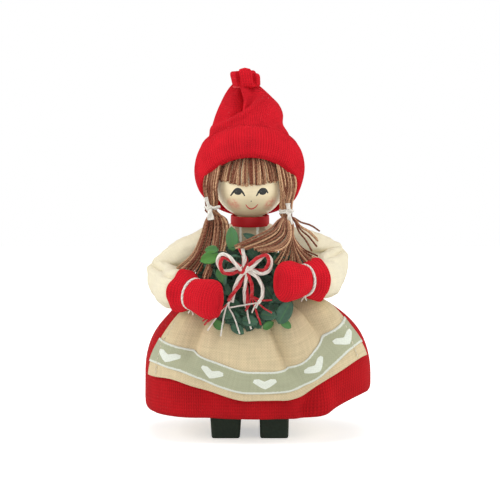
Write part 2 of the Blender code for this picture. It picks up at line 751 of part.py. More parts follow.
def make_sleeve(name, route):
    """A stuffed sleeve, bored along its path for the arm wire."""
    sleeve = add_piece(name, tube_mesh(name, route[:, :3], route[:, 3], 4), "cream_cotton", "arms")
    outward = route[0, :3] - route[1, :3]
    lead = route[0, :3] + outward / np.linalg.norm(outward) * CUT_OVERRUN
    path = np.vstack([lead, route[1:-2, :3]])
    bore = tube_mesh(name + "_bore", path, ARM_WIRE_DIAMETER / 2 + CLEARANCE, 1)
    combine(sleeve, add_cutter(name + "_bore", bore), "DIFFERENCE")


def make_arm_wire(right, left):
    """One wire from wrist to wrist, straight through the torso and the spine."""
    path = np.vstack([right[-4:0:-1, :3], left[1:-3, :3]])
    add_piece("arm_wire", tube_curve("arm_wire", path, ARM_WIRE_DIAMETER / 2, 1), "steel_wire", "arms")


def hand_axes(hand_way):
    """Unit vectors along the hand, up it and through its depth."""
    along = Vector(hand_way).normalized()
    depth = along.cross(Vector((0, 0, 1))).normalized()
    return along, depth.cross(along), depth


def make_mitten(name, wrist, hand_way):
    """A mitten: flared cuff with its cup, tied wrist and flattened round hand."""
    along, up, depth = hand_axes(hand_way)
    lip = CUFF_MOUTH + CUFF_WALL
    back = CUFF_LENGTH / 2
    stations = [
        (-back, CUFF_FLOOR, CUFF_FLOOR),
        (-1.45 * CUFF_LENGTH, CUFF_MOUTH, CUFF_MOUTH),
        (-1.50 * CUFF_LENGTH, lip - 0.3 * CUFF_WALL, lip - 0.3 * CUFF_WALL),
        (-1.40 * CUFF_LENGTH, lip, lip),
        (-0.85 * CUFF_LENGTH, 0.6 * lip + 0.4 * (CUFF_FLOOR + CUFF_WALL), 0.6 * lip + 0.4 * (CUFF_FLOOR + CUFF_WALL)),
        (-0.38 * CUFF_LENGTH, CUFF_FLOOR + 0.7 * CUFF_WALL, CUFF_FLOOR + 0.6 * CUFF_WALL),
        (0.0, WRIST_RADIUS, WRIST_RADIUS),
        (0.10 * HAND_LENGTH, 0.66 * WRIST_RADIUS + 0.34 * HAND_HALF_HEIGHT, WRIST_RADIUS),
        (0.29 * HAND_LENGTH, 0.95 * HAND_HALF_HEIGHT, HAND_HALF_DEPTH),
        (0.52 * HAND_LENGTH, HAND_HALF_HEIGHT, HAND_HALF_DEPTH),
        (0.76 * HAND_LENGTH, 0.86 * HAND_HALF_HEIGHT, 0.88 * HAND_HALF_DEPTH),
        (0.92 * HAND_LENGTH, 0.56 * HAND_HALF_HEIGHT, 0.60 * HAND_HALF_DEPTH),
        (HAND_LENGTH, 0.2 * HAND_HALF_HEIGHT, 0.22 * HAND_HALF_DEPTH),
    ]
    rings = [ellipse(Vector(wrist) + along * z, up * high, depth * deep, 18) for z, high, deep in stations]
    add_piece(name, loft(name, rings), "red_knit", "arms")


def make_wrist_tie(name, wrist, hand_way):
    """Yarn round the mitten's wrist."""
    _, up, depth = hand_axes(hand_way)
    reach = WRIST_RADIUS + CLEARANCE + WRIST_TIE_DIAMETER / 2
    ring = ellipse(wrist, up * reach, depth * reach, 18)
    add_piece(name, tube_curve(name, ring, WRIST_TIE_DIAMETER / 2, 1, cyclic=True), "white_yarn", "arms")


def wreath_frame():
    """From the wreath's own axes, x across, y back and z up, to the doll's."""
    return Matrix.Translation(WREATH_CENTRE) @ Matrix.Rotation(-math.radians(WREATH_LEAN), 4, "X")


def in_wreath(points):
    """Points of the wreath's axes in the doll's."""
    turn = np.asarray(wreath_frame())
    return np.asarray(points) @ turn[:3, :3].T + turn[:3, 3]


def round_wreath(degrees, depth):
    """Points on the wreath's circle at a depth behind its middle plane."""
    angles = np.radians(degrees)
    circle = [WREATH_RADIUS * np.cos(angles), np.full(len(angles), depth), WREATH_RADIUS * np.sin(angles)]
    return np.stack(circle, axis=-1)


def make_wreath_wire():
    """The wire ring behind the sprigs."""
    ring = in_wreath(round_wreath(np.arange(0, 360, 15.0), 0.0))
    curve = tube_curve("wreath_wire", ring, WREATH_WIRE_DIAMETER / 2, 1, cyclic=True)
    add_piece("wreath_wire", curve, "steel_wire", "arms")


def leaf_matrix(base, way, face):
    """Places a unit sphere as a flat leaf from its base along a way, facing a direction."""
    way = way.normalized()
    across = face.cross(way).normalized()
    axes = Matrix((way, across, way.cross(across))).transposed().to_4x4()
    size = Matrix.Diagonal((LEAF_LENGTH / 2, LEAF_WIDTH / 2, LEAF_THICKNESS / 2, 1.0))
    return Matrix.Translation(base + way * LEAF_LENGTH / 2) @ axes @ size


def make_sprig(name, start, span):
    """A bent stem along the wreath with leaves inwards, outwards and forwards in turn."""
    front = -(WREATH_WIRE_DIAMETER + STEM_DIAMETER) / 2 - CLEARANCE
    arc = in_wreath(round_wreath(np.linspace(start, start + span, 7), front))
    sprig = add_piece(name, tube_mesh(name, arc, STEM_DIAMETER / 2, 1), "leaf_green", "arms")
    bm = bmesh.new()
    for i in range(LEAVES_PER_SPRIG):
        angle = math.radians(start + span * (0.06 + 0.52 * i / (LEAVES_PER_SPRIG - 1)))
        radial = Vector((math.cos(angle), 0.0, math.sin(angle)))
        onward = Vector((-math.sin(angle), 0.0, math.cos(angle)))
        forward = Vector((0.0, -1.0, 0.0))
        reach, lift = LEAF_WAYS[i % len(LEAF_WAYS)]
        way = radial * reach + onward * LEAF_SWEEP + forward * lift
        base = radial * WREATH_RADIUS + forward * -front
        spot = wreath_frame() @ leaf_matrix(base, way, forward)
        bmesh.ops.create_uvsphere(bm, u_segments=6, v_segments=5, radius=1.0, matrix=spot)
    leaves = add_cutter(name + "_leaves", mesh_from(bm, name + "_leaves"))
    combine(sprig, leaves, "UNION")
    sprig.modifiers[-1].use_self = True


def make_wreath():
    """Wire ring and sprigs, with a gap where the bow is hitched."""
    make_wreath_wire()
    sector = 360.0 / SPRIGS
    for i in range(SPRIGS):
        start = HITCH_ANGLE + SPRIG_GAP / 2 + i * sector
        make_sprig(f"sprig_{i + 1}", start, sector - SPRIG_GAP)


def bow_places():
    """The hitch's middle, its long axis and the knot's middle, in the wreath's own axes."""
    angle = math.radians(HITCH_ANGLE)
    radial = np.array([math.cos(angle), 0.0, math.sin(angle)])
    slant = math.radians(HITCH_SLANT)
    down = -radial * math.cos(slant) + np.array([0.0, -math.sin(slant), 0.0])
    yarn = 0.4 * BOW_YARN_DIAMETER
    middle = radial * WREATH_RADIUS + down * (HITCH_HALF_HEIGHT - yarn - WREATH_WIRE_DIAMETER / 2 - CLEARANCE)
    knot = middle + down * (HITCH_HALF_HEIGHT + yarn + CLEARANCE + KNOT_RADIUS)
    across = np.cross(down, np.array([1.0, 0.0, 0.0]))
    return middle, down, across, knot


def make_bow():
    """The yarn bow: hitch round the wire, knot, two loops and two tails."""
    yarn = BOW_YARN_DIAMETER / 2
    middle, down, across, knot = bow_places()
    hitch = in_wreath(ellipse(middle, down * HITCH_HALF_HEIGHT, across * HITCH_HALF_DEPTH, 16))
    add_piece("bow_hitch", tube_curve("bow_hitch", hitch, 0.8 * yarn, 1, cyclic=True), "bow_yarn", "arms")
    bm = bmesh.new()
    spot = Matrix.Translation(in_wreath(knot[None])[0])
    bmesh.ops.create_uvsphere(bm, u_segments=10, v_segments=6, radius=KNOT_RADIUS, matrix=spot)
    add_piece("bow_knot", mesh_from(bm, "bow_knot"), "bow_yarn", "arms")
    start = KNOT_RADIUS + CLEARANCE + yarn
    for name, side in (("right", -1), ("left", 1)):
        turn = np.linspace(0, 2 * math.pi, 14, endpoint=False)
        reach = start + LOOP_LENGTH * (1 - np.cos(turn)) / 2
        rise = LOOP_HALF_WIDTH * np.sin(turn) * (1 - np.cos(turn)) / 1.3 + 0.18 * (reach - start)
        loop = knot + np.stack([side * reach, -0.25 * (reach - start), rise], axis=-1)
        curve = tube_curve("bow_loop_" + name, in_wreath(loop), yarn, 1, cyclic=True)
        add_piece("bow_loop_" + name, curve, "bow_yarn", "arms")
        drop = np.linspace(0, 1, 8)
        sway = side * (1.15 * yarn + 0.27 * TAIL_LENGTH * drop**1.3)
        fall = -start * 0.72 - 0.92 * TAIL_LENGTH * drop
        tail = knot + np.stack([sway, -0.06 * TAIL_LENGTH * drop, fall], axis=-1)
        curve = tube_curve("bow_tail_" + name, in_wreath(tail), yarn, 1)
        add_piece("bow_tail_" + name, curve, "bow_yarn", "arms")


# Hair and cap


def make_fringe():
    """Yarn over the forehead with a ragged lower edge, tucked under the cap."""
    columns = np.radians(np.linspace(-FRINGE_HALF_ANGLE, FRINGE_HALF_ANGLE, 25))
    inner = HEAD_RADIUS + CLEARANCE
    rows = []
    for share in np.linspace(0, 1, 4):
        ragged = FRINGE_RAGGED * (1 - share) * np.cos(np.arange(25) * math.pi)
        rise = np.radians(FRINGE_LOW + (FRINGE_HIGH - FRINGE_LOW) * share + ragged)
        flat = np.cos(rise)
        way = np.stack([flat * np.sin(columns), -flat * np.cos(columns), np.sin(rise)], axis=-1)
        rows.append(np.asarray(HEAD_CENTRE) + inner * way)
    fringe = add_piece("fringe", loft("fringe", rows, wrap=False, caps=False), "brown_yarn", "head")
    solidify(fringe, HAIR_THICKNESS, outward=True)


def make_lock(name, side, tie):
    """A flat bundle of yarn from under the cap that rounds as it reaches its tie."""
    tie = np.asarray(tie)
    thin = HAIR_THICKNESS / 2
    under = HEAD_RADIUS + CLEARANCE + thin
    high = np.array([side * 0.83, -0.39, 0.40])
    rim = np.array([side * 0.85, -0.50, 0.17])
    places = [
        high / np.linalg.norm(high) * under,
        rim / np.linalg.norm(rim) * under,
        0.5 * (rim / np.linalg.norm(rim) * under + tie) + np.array([side * 0.0009, 0.0, 0.0008]),
        tie + np.array([0.0, 0.0, 0.0048]),
        tie + np.array([0.0, 0.0, CLEARANCE / 2]),
    ]
    widths = [LOCK_WIDTH / 2, LOCK_WIDTH / 2, 0.45 * LOCK_WIDTH, 1.15 * TIE_RADIUS, TIE_RADIUS]
    depths = [thin, thin, 1.6 * thin, 0.95 * TIE_RADIUS, TIE_RADIUS]
    route = smooth_path(np.column_stack([np.asarray(HEAD_CENTRE) + places, widths, depths]), 3)
    add_piece(name, ribbon_loft(name, route, Vector(high)), "brown_yarn", "head")


def ribbon_loft(name, route, facing, level=0):
    """A bundle along stations of place, half width and half depth, its flat side facing a direction."""
    rings = []
    for i, station in enumerate(route):
        ahead = Vector(route[min(i + 1, len(route) - 1), :3] - route[max(i - 1, 0), :3]).normalized()
        ahead = Vector((0, 0, -1)) if i < level else ahead
        across = ahead.cross(facing).normalized()
        out = across.cross(ahead)
        rings.append(ellipse(station[:3], across * station[3], out * station[4], 10))
    return loft(name, rings)


def make_hair_tie(name, tie):
    """Yarn round the bundle where the pigtail starts."""
    reach = TIE_RADIUS + CLEARANCE + TIE_YARN_DIAMETER / 2
    ring = ellipse(np.asarray(HEAD_CENTRE) + tie, (reach, 0, 0), (0, reach, 0), 10)
    add_piece(name, tube_curve(name, ring, TIE_YARN_DIAMETER / 2, 1, cyclic=True), "white_yarn", "head")


def make_pigtail(name, tie, strands):
    """Loose yarn below a tie: tapered strands that spread from inside the first one's root."""
    root = np.asarray(HEAD_CENTRE) + tie - np.array([0.0, 0.0, CLEARANCE / 2])
    below_tie = np.array([0.0, 0.0, TIE_YARN_DIAMETER / 2 + CLEARANCE])
    pigtail = None
    for i, (middle, end, half_width, half_depth) in enumerate(strands):
        near = TIE_RADIUS * (1 - 0.10 * i)
        start = root - np.array([0.0, 0.0, 0.25 * TIE_RADIUS * i])
        places = [start - below_tie, root + middle, root + end]
        widths = [near, 0.75 * half_width, half_width]
        depths = [near, half_depth, 0.7 * half_depth]
        route = smooth_path(np.column_stack([places, widths, depths]), 3)
        route = np.vstack([[*start, near, near], route])
        mesh = ribbon_loft(f"{name}_{i}", route, Vector((0, -1, 0)), level=2)
        if pigtail is None:
            pigtail = add_piece(name, mesh, "brown_yarn", "head")
        else:
            combine(pigtail, add_cutter(f"{name}_{i}", mesh), "UNION")


def cap_axis(share):
    """Middle, back direction and axis of the cap's section at a share of its length from the rim."""
    steps = np.linspace(0.0, share, 40) if share else np.zeros(1)
    tilts = np.radians(TIP_TILT + (RIM_TILT - TIP_TILT) * np.maximum(1 - steps, 0.0) ** TILT_POWER)
    rim_axis = np.array([0.0, math.sin(math.radians(RIM_TILT)), math.cos(math.radians(RIM_TILT))])
    run = np.stack([np.zeros(len(tilts)), np.sin(tilts), np.cos(tilts)], axis=-1).mean(axis=0)
    middle = np.asarray(HEAD_CENTRE) - rim_axis * RIM_BELOW_CENTRE + run * CROWN_LENGTH * share
    middle = middle + np.array([CROWN_LEAN * max(share, 0.0) ** 3, 0.0, 0.0])
    tilt = tilts[-1]
    return middle, np.array([0.0, math.cos(tilt), -math.sin(tilt)]), np.array([0.0, math.sin(tilt), math.cos(tilt)])


def crown_radius(share):
    """The crown's outer radius, full over the head and drawn in to its neck."""
    drawn = max(share - CROWN_SHOULDER, 0.0) / (1 - CROWN_SHOULDER)
    return CROWN_RADIUS - (CROWN_RADIUS - CROWN_NECK) * drawn**CROWN_ROUNDING


def cap_ring(share, radius, count, ruffle=0.0, waves=GATHERS):
    """A section of the cap, gathered by a share of its radius."""
    middle, back, _ = cap_axis(share)
    angles = np.linspace(0, 2 * math.pi, count, endpoint=False)[:, None]
    reach = radius * (1 + ruffle * np.cos(waves * angles + 1.2))
    return middle + reach * (np.cos(angles) * np.array([1.0, 0.0, 0.0]) + np.sin(angles) * back)


def make_crown():
    """The knitted crown from inside the cuff to its gathered neck."""
    rings = []
    for share in (0.02, 0.18, 0.34, 0.46, 0.58, 0.70, 0.80, 0.88, 0.94, 1.0):
        ruffle = -GATHER_DEPTH * smoothstep(0.62, 0.94, share) * (1 - 0.9 * smoothstep(0.94, 1.0, share))
        rings.append(cap_ring(share, crown_radius(share), CAP_COLUMNS, ruffle))
    crown = add_piece("hat_crown", loft("hat_crown", rings, caps=False), "red_knit", "head")
    solidify(crown, CROWN_THICKNESS, outward=False)


def make_cuff():
    """The turned-up cuff: a rolled, bulging band round the crown."""
    top = CUFF_HEIGHT / CROWN_LENGTH
    inner = CROWN_RADIUS + CLEARANCE
    thick = CUFF_THICKNESS
    stations = [
        (0.97 * top, inner),
        (0.50 * top, inner),
        (0.03 * top, inner),
        (0.00 * top, inner + 0.45 * thick),
        (0.06 * top, inner + 0.95 * thick),
        (0.28 * top, inner + thick + 0.8 * CUFF_BULGE),
        (0.52 * top, inner + thick + CUFF_BULGE),
        (0.78 * top, inner + thick + 0.6 * CUFF_BULGE),
        (0.95 * top, inner + 0.9 * thick),
        (1.00 * top, inner + 0.45 * thick),
    ]
    rings = [cap_ring(share, radius, CAP_COLUMNS) for share, radius in stations]
    mesh = loft("hat_cuff", rings + rings[:1], caps=False)
    bm = bmesh.new()
    bm.from_mesh(mesh)
    bpy.data.meshes.remove(mesh)
    bmesh.ops.remove_doubles(bm, verts=bm.verts, dist=1e-6)
    add_piece("hat_cuff", mesh_from(bm, "hat_cuff"), "red_knit", "head")


def make_tuft():
    """The gathered end of the cap above its thread, ruffled and open like a flower."""
    rise = TUFT_HEIGHT / CROWN_LENGTH
    neck = 1.0 + (TUFT_TIE_DIAMETER + 3 * CLEARANCE) / CROWN_LENGTH
    sunk = 1.0 - 0.03
    stations = [
        (sunk, TUFT_STEM, 0.0),
        (neck, TUFT_STEM, 0.0),
        (neck + 0.12 * rise, 0.78 * TUFT_RADIUS, 0.06),
        (neck + 0.45 * rise, TUFT_RADIUS, 0.14),
        (neck + 0.82 * rise, 0.88 * TUFT_RADIUS, 0.20),
        (neck + rise, 0.60 * TUFT_RADIUS, 0.20),
        (neck + 0.92 * rise, 0.30 * TUFT_RADIUS, 0.10),
    ]
    rings = [cap_ring(share, radius, 30, ruffle, 6) for share, radius, ruffle in stations]
    add_piece("hat_tuft", loft("hat_tuft", rings), "red_knit", "head")


def make_tuft_tie():
    """The thread round the tuft's stem, seated on the crown's neck."""
    yarn = TUFT_TIE_DIAMETER / 2
    share = 1.0 + (yarn + CLEARANCE) / CROWN_LENGTH
    ring = cap_ring(share, TUFT_STEM + CLEARANCE + yarn, 16)
    add_piece("tuft_tie", tube_curve("tuft_tie", ring, yarn, 1, cyclic=True), "white_yarn", "head")


def centre_on_origin(root):
    """Move the doll so that the middle of its outline stands on the origin."""
    bpy.context.view_layer.update()
    graph = bpy.context.evaluated_depsgraph_get()
    corners = []
    for piece in bpy.data.collections[OBJECT_NAME].objects:
        if piece.type == "EMPTY":
            continue
        shape = piece.evaluated_get(graph)
        corners += [shape.matrix_world @ Vector(corner) for corner in shape.bound_box]
    corners = np.array(corners)
    middle = (corners.min(axis=0) + corners.max(axis=0)) / 2
    root.location = (-middle[0], -middle[1], 0.0)
    print("moved by", root.location[:], "size", corners.max(axis=0) - corners.min(axis=0))
    print("arm axis height", SHOULDER_Z, "head height", HEAD_Z)


def main():
    """Build every piece of the doll."""
    clear_scene()
    new_collection(OBJECT_NAME)
    new_collection("cutters")
    root = empty("doll", (0, 0, 0))
    empty("head", HEAD_CENTRE, root)
    empty("arms", (0, 0, SHOULDER_Z), root)
    for name, side in (("right", -1), ("left", 1)):
        make_boot("boot_" + name, side * BOOT_SPACING / 2)
        make_leg("leg_" + name, side * BOOT_SPACING / 2)
    make_hip_disc()
    make_spine()
    make_base_board()
    make_torso()
    make_skirt()
    make_padding()
    make_apron()
    make_heart_band()
    make_waistband()
    make_bib()
    make_collar()
    routes = []
    for name, side, elbow, forearm, grip, way in (
        ("right", -1, RIGHT_ELBOW, RIGHT_FOREARM, RIGHT_GRIP, RIGHT_HAND_WAY),
        ("left", 1, LEFT_ELBOW, LEFT_FOREARM, LEFT_GRIP, LEFT_HAND_WAY),
    ):
        wrist = wrist_place(side, grip)
        routes.append(arm_route(side, elbow, forearm, wrist, way))
        make_sleeve("sleeve_" + name, routes[-1])
        make_mitten("mitten_" + name, wrist, way)
        make_wrist_tie("wrist_tie_" + name, wrist, way)
    make_arm_wire(*routes)
    make_wreath()
    make_bow()
    make_head()
    make_fringe()
    for name, side, tie, strands in (
        ("right", -1, TIE_RIGHT, RIGHT_STRANDS),
        ("left", 1, TIE_LEFT, LEFT_STRANDS),
    ):
        make_lock("lock_" + name, side, tie)
        make_hair_tie("hair_tie_" + name, tie)
        make_pigtail("pigtail_" + name, tie, strands)
    make_crown()
    make_cuff()
    make_tuft()
    make_tuft_tie()
    centre_on_origin(root)


main()
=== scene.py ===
"""Nordic Christmas girl doll: cloth, knit, yarn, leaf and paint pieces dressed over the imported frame."""

import collections
import math

import bmesh
import bpy
import numpy as np
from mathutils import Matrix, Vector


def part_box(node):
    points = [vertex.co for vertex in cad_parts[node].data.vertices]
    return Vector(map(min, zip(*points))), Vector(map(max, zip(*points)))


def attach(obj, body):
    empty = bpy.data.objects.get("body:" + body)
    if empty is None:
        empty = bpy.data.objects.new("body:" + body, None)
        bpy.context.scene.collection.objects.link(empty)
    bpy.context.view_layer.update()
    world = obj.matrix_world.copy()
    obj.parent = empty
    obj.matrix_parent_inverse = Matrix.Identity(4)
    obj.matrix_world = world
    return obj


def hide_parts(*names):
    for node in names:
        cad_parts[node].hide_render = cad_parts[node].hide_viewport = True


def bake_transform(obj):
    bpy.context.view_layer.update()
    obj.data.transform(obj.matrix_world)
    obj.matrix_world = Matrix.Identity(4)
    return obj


bl_info = {
    "name": "Christmas girl doll",
    "version": (1, 0, 0),
    "blender": (4, 5, 0),
    "location": "View3D > Sidebar > Doll",
    "description": "Dresses a stuffed doll in knit, linen, yarn and leaves",
    "category": "Object",
}

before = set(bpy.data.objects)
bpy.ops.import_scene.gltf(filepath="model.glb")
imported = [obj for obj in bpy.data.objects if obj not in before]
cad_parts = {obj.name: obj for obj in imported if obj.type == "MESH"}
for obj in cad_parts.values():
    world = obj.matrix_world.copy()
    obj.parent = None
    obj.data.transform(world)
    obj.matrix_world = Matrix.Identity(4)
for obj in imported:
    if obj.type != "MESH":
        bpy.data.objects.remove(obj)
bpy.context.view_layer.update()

MM = 0.001
TAU = 2 * math.pi
X, Y, Z = np.eye(3)
WHITE = (1.0, 1.0, 1.0, 1.0)

# The head ball gives the doll's own axis: shapes are worked out about it and moved there at the end
BALL_LOW, BALL_HIGH = (np.array(corner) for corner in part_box("head_ball"))
HEAD_RADIUS = (BALL_HIGH[0] - BALL_LOW[0]) / 2
MOVED = np.array([1.0, 1.0, 0.0]) * (BALL_LOW + BALL_HIGH) / 2
HEAD = np.array([0.0, 0.0, BALL_HIGH[2] - HEAD_RADIUS])

# Stage; each lamp has a name, a power, a size and a place from the aim
FLOOR_HALF = 0.75
FLOOR_GLOW = 0.50
WORLD_LIGHT = 0.40
AIM = np.array([0.0, -16.0, 104.4]) * MM
LAMPS = (
    ("left_softbox", 5.7, 0.7, (-0.95, -0.22, 0.40)),
    ("right_softbox", 5.3, 0.7, (0.95, -0.22, 0.40)),
    ("top_softbox", 3.0, 0.8, (0.0, -0.15, 1.0)),
    ("front_softbox", 2.6, 0.8, (0.0, -1.1, 0.25)),
)
CAMERA_FAR = 2.4
CAMERA_TILT = math.radians(8.0)
CAMERA_SENSOR = 36.0
FRAME_WIDTH = 0.275

# Boots: widening to the top, squareness of the corners, and rounded edges by share of height and of rounding
BOOT_FLARES = {"boot_right": 0.14, "boot_left": 0.05}
BOOT_CORNER = 0.16
BOOT_ROUNDING = 0.5 * MM
BOOT_RISE = np.array([0, 0, 0.02, 0.06, 0.25, 0.5, 0.75, 0.94, 0.98, 1.0, 1.0])
BOOT_INSET = np.array([1, 0.7, 0.2, 0, 0, 0, 0, 0, 0.2, 0.7, 1])

# Skirt and its wadding
WAIST_Z = 86.0 * MM
HEM_Z = 15.0 * MM
HEM_LIFT = 11.5 * MM
HEM_LIFTED_AT = 95.0
NECK_ABOVE = 5.0 * MM
SKIRT_NECK = 16.8 * MM
SKIRT_RIGHT = 58.0 * MM
SKIRT_LEFT = 66.8 * MM
SKIRT_DEPTH = 44.0 * MM
SKIRT_WALL = 1.4 * MM
SKIRT_COLUMNS = 480
SKIRT_ROUND = 0.37
SQUARENESS = 3.0
HEM_ROUND = 0.055
SLOPE_STEP = 1e-3
PADDING_LOW = 19.6 * MM
PADDING_TOP = 75.5 * MM
PADDING_INSET = 6.4 * MM
PADDING_BORE = 23.5 * MM
BOARD_HALF = (49.5 * MM, 35.5 * MM)

# Full folds: angle from the front towards the doll's left, half width in degrees, height at the hem
FOLDS = (
    (-47.0, 12.0, 1.2 * MM),
    (-30.0, 8.0, -1.6 * MM),
    (0.0, 18.0, 1.2 * MM),
    (21.0, 7.0, -0.9 * MM),
    (66.0, 12.0, 1.2 * MM),
    (120.0, 16.0, -2.2 * MM),
    (155.0, 14.0, 2.0 * MM),
    (-150.0, 16.0, -2.0 * MM),
    (-110.0, 14.0, 1.4 * MM),
)

# Sharper folds that show below the apron's hem only
HEM_FOLDS = ((37.0, 4.5, -3.8 * MM), (44.5, 5.0, 2.8 * MM), (58.0, 9.0, -1.4 * MM), (-52.0, 9.0, -0.8 * MM))

# Pleats that open out of the gathered waist: angle and share of the length at both ends, half width, depth
PLEATS = (
    (-36.5, 0.10, -40.0, 0.58, 6.0, 4.2 * MM),
    (-22.0, 0.15, -24.0, 0.46, 3.5, 1.2 * MM),
    (13.0, 0.12, 28.5, 0.66, 5.5, 4.2 * MM),
    (43.0, 0.04, 50.0, 0.46, 5.0, 3.6 * MM),
    (-60.0, 0.10, -66.0, 0.50, 6.0, 1.3 * MM),
    (66.0, 0.12, 72.0, 0.50, 5.0, 1.2 * MM),
    (105.0, 0.10, 109.0, 0.55, 7.0, 1.6 * MM),
    (140.0, 0.10, 137.0, 0.50, 6.0, 1.4 * MM),
    (178.0, 0.10, 181.0, 0.60, 7.0, 1.8 * MM),
    (-140.0, 0.10, -136.0, 0.50, 6.0, 1.5 * MM),
    (-100.0, 0.10, -104.0, 0.52, 7.0, 1.4 * MM),
)

# Apron, its ribbon and the woven heart, whose corners go once round with the clock in half widths
APRON_EDGES = (-64.3, 69.0)
APRON_TOP = 83.8 * MM
APRON_HEM = 25.5 * MM
APRON_RISE = (11.4 * MM, 21.0 * MM)
APRON_EASE = 0.7 * MM
APRON_FLARE = 1.2 * MM
APRON_PUFF = 3.8 * MM
APRON_WALL = 0.7 * MM
SEAM_INSET = 7.5
SEAM_TOP = 66 * MM
BAND_LOW = 5.3 * MM
BAND_SAG = 1.5 * MM
BAND_ENDS = (1.6 * MM, 1.5 * MM)
BAND_WIDTH = 12.0 * MM
BAND_LIFT = 0.95 * MM
HEART_LIFT = 1.35 * MM
HEART_SPOTS = (0.102, 0.297, 0.518, 0.741, 0.914)
HEART_HALF = ((0, -0.52), (-0.36, -0.36), (-1, 0.06), (-0.9, 0.30), (-0.5, 0.34))
HEART = (*HEART_HALF, (-0.03, 0.12), *((-x, y) for x, y in HEART_HALF[:0:-1]))

# Height and radius of the stuffed torso from hips to neck
TORSO = MM * np.array(
    [
        (55.3, 17.5),
        (65.5, 19.5),
        (80.0, 15.2),
        (86.0, 15.0),
        (91.0, 15.0),
        (92.5, 15.6),
        (108.8, 15.6),
        (112.6, 13.4),
        (114.0, 9.2),
        (120.6, 9.0),
    ]
)
SHOULDER_RISE = 3.4 * MM
CHEST_FREE = (93 * MM, 112 * MM)
CHEST_SWELL = 1.2 * MM

# Sections of the waistband in millimetres, and of the collar by radius and share of its height
WAISTBAND = ((17.2, 86.3), (18.3, 86.5), (18.5, 88.5), (18.3, 90.8), (17.2, 91.0), (17.1, 88.6), (17.2, 86.3))
COLLAR_OUTSIDE = ((10.3, 0.0), (10.55, 0.04), (10.7, 0.5), (10.55, 0.96), (10.3, 1.0))
COLLAR = ((9.3, 0.0), *COLLAR_OUTSIDE, (9.4, 1.0), (9.3, 0.5), (9.3, 0.0))
COLLAR_DROP = 0.8 * MM
BODICE_LOW = 92.6
BODICE_RISE = 24.2
BODICE_HALF = 62

# Blender's Cloth under pressure, worked at a larger scale
SWELL_SCALE = 20.0
SWELL_FRAMES = 20
SWELL_PRESSURE = 4.0
SWELL_SLACK = -0.06

# Arms: elbow, forearm, wrist and the way each hand points
Arm = collections.namedtuple("Arm", "side elbow forearm wrist hand")
ARMS = {
    "right": Arm(-1, (-46.3, -4.0, 89.3), (-42.5, -20.0, 85.0), (-31.2, -45.0, 84.4), (0.74, -0.66, -0.14)),
    "left": Arm(1, (44.0, -4.0, 97.0), (40.3, -20.0, 91.3), (29.8, -41.5, 91.4), (-0.74, -0.66, 0.03)),
}
SHOULDER = np.array([15.9, 0.0, 108.0]) * MM
SLEEVE_RADII = np.array([8.8, 8.0, 9.0, 9.8, 9.6, 9.2, 7.4]) * MM
SLEEVE_COLUMNS = 104
SLEEVE_SWELL = 1.4 * MM

# Each elbow's crease seen from the front: distances from the doll's middle, and heights there, in millimetres
ELBOW_CREASES = {"right": ((39.5, 53.6), (93.6, 95.0)), "left": ((35.2, 51.0), (101.6, 103.0))}

# How much taller than wide each sleeve is at the forearm, and the row of its route there
SLEEVE_TALL = {"right": 0.08, "left": 0.20}
FOREARM_ROW = 44

# Mittens; the cuff's inside takes up the first rows
CUFF_LENGTH = 5.4 * MM
CUFF_MOUTH = 10.6 * MM
CUFF_FLOOR = 8.3 * MM
CUFF_WALL = 1.3 * MM
CUFF_INSIDE_ROWS = 14
WRIST = 7.9 * MM
HAND = np.array([19.6, 11.2, 8.0]) * MM

# Wreath
WREATH = np.array([-1.5, -33.5, 87.0]) * MM
WREATH_LEAN = math.radians(14.0)
WREATH_RING = 17.0 * MM
SPRIGS = 6
RING_LEAVES = 132
INNER_LEAVES = 34
STEM_COIL = 1.1 * MM

# Leaves seen in front: base and tip across and up from the wreath's middle, width, share forwards, tint
FRONT_LEAVES = (
    (-7.8, 18.5, -8.7, 32.0, 7.0, 0.10, 0.72),
    (-15.0, 16.5, -25.5, 13.4, 7.4, 0.25, 1.00),
    (-15.6, 19.6, -23.0, 19.4, 4.8, 0.10, 0.80),
    (-15.6, 9.6, -12.3, 0.8, 6.0, 0.30, 0.78),
    (-18.5, 12.0, -30.5, 8.0, 8.6, -0.60, 0.10),
    (-16.0, 4.0, -27.5, 2.0, 8.0, -0.40, 0.05),
    (-14.5, 9.5, -24.5, 6.6, 7.2, -0.60, 0.06),
    (-17.5, 8.4, -31.0, 6.6, 7.4, -0.60, 0.08),
    (-3.2, -19.0, 6.2, -20.4, 6.4, 0.45, 0.26),
    (6.8, -15.8, 16.6, -17.2, 6.4, 0.45, 0.26),
    (17.0, -21.2, 24.0, -8.2, 8.6, 0.35, 0.24),
    (18.3, -19.4, 23.8, -23.2, 4.6, 0.05, 0.85),
    (8.6, -24.0, 14.2, -20.0, 4.4, 0.05, 0.85),
    (-13.5, -24.2, -18.2, -19.0, 5.2, 0.05, 0.85),
    (-16.0, -14.6, -7.4, -17.2, 5.8, 0.40, 0.28),
    (-9.0, -21.6, -2.0, -26.4, 5.4, 0.15, 0.22),
    (8.5, 23.0, -2.0, 28.4, 4.2, 0.10, 0.12),
    (15.0, 9.0, 21.0, 15.5, 6.0, 0.15, 0.08),
    (14.5, 13.5, 25.5, 15.6, 7.0, -0.35, 0.06),
    (18.0, 12.0, 32.5, 14.6, 6.6, -0.35, 0.04),
    (14.0, -9.0, 21.0, -4.0, 7.0, 0.15, 0.10),
)

# Bow: where it hangs on the ring, its knot, and how its yarns are plied
HITCH_ANGLE = 98.0
KNOT = np.array([-3.0, -39.4, 97.4]) * MM
BOW_TWIST = {"plies": 3, "pitch": 5.5 * MM, "sides": 12}
RED_AND_WHITE = np.array([0.0, 1.0])
LOOP_REACH = 12.8
LOOP_RISE = 4.6

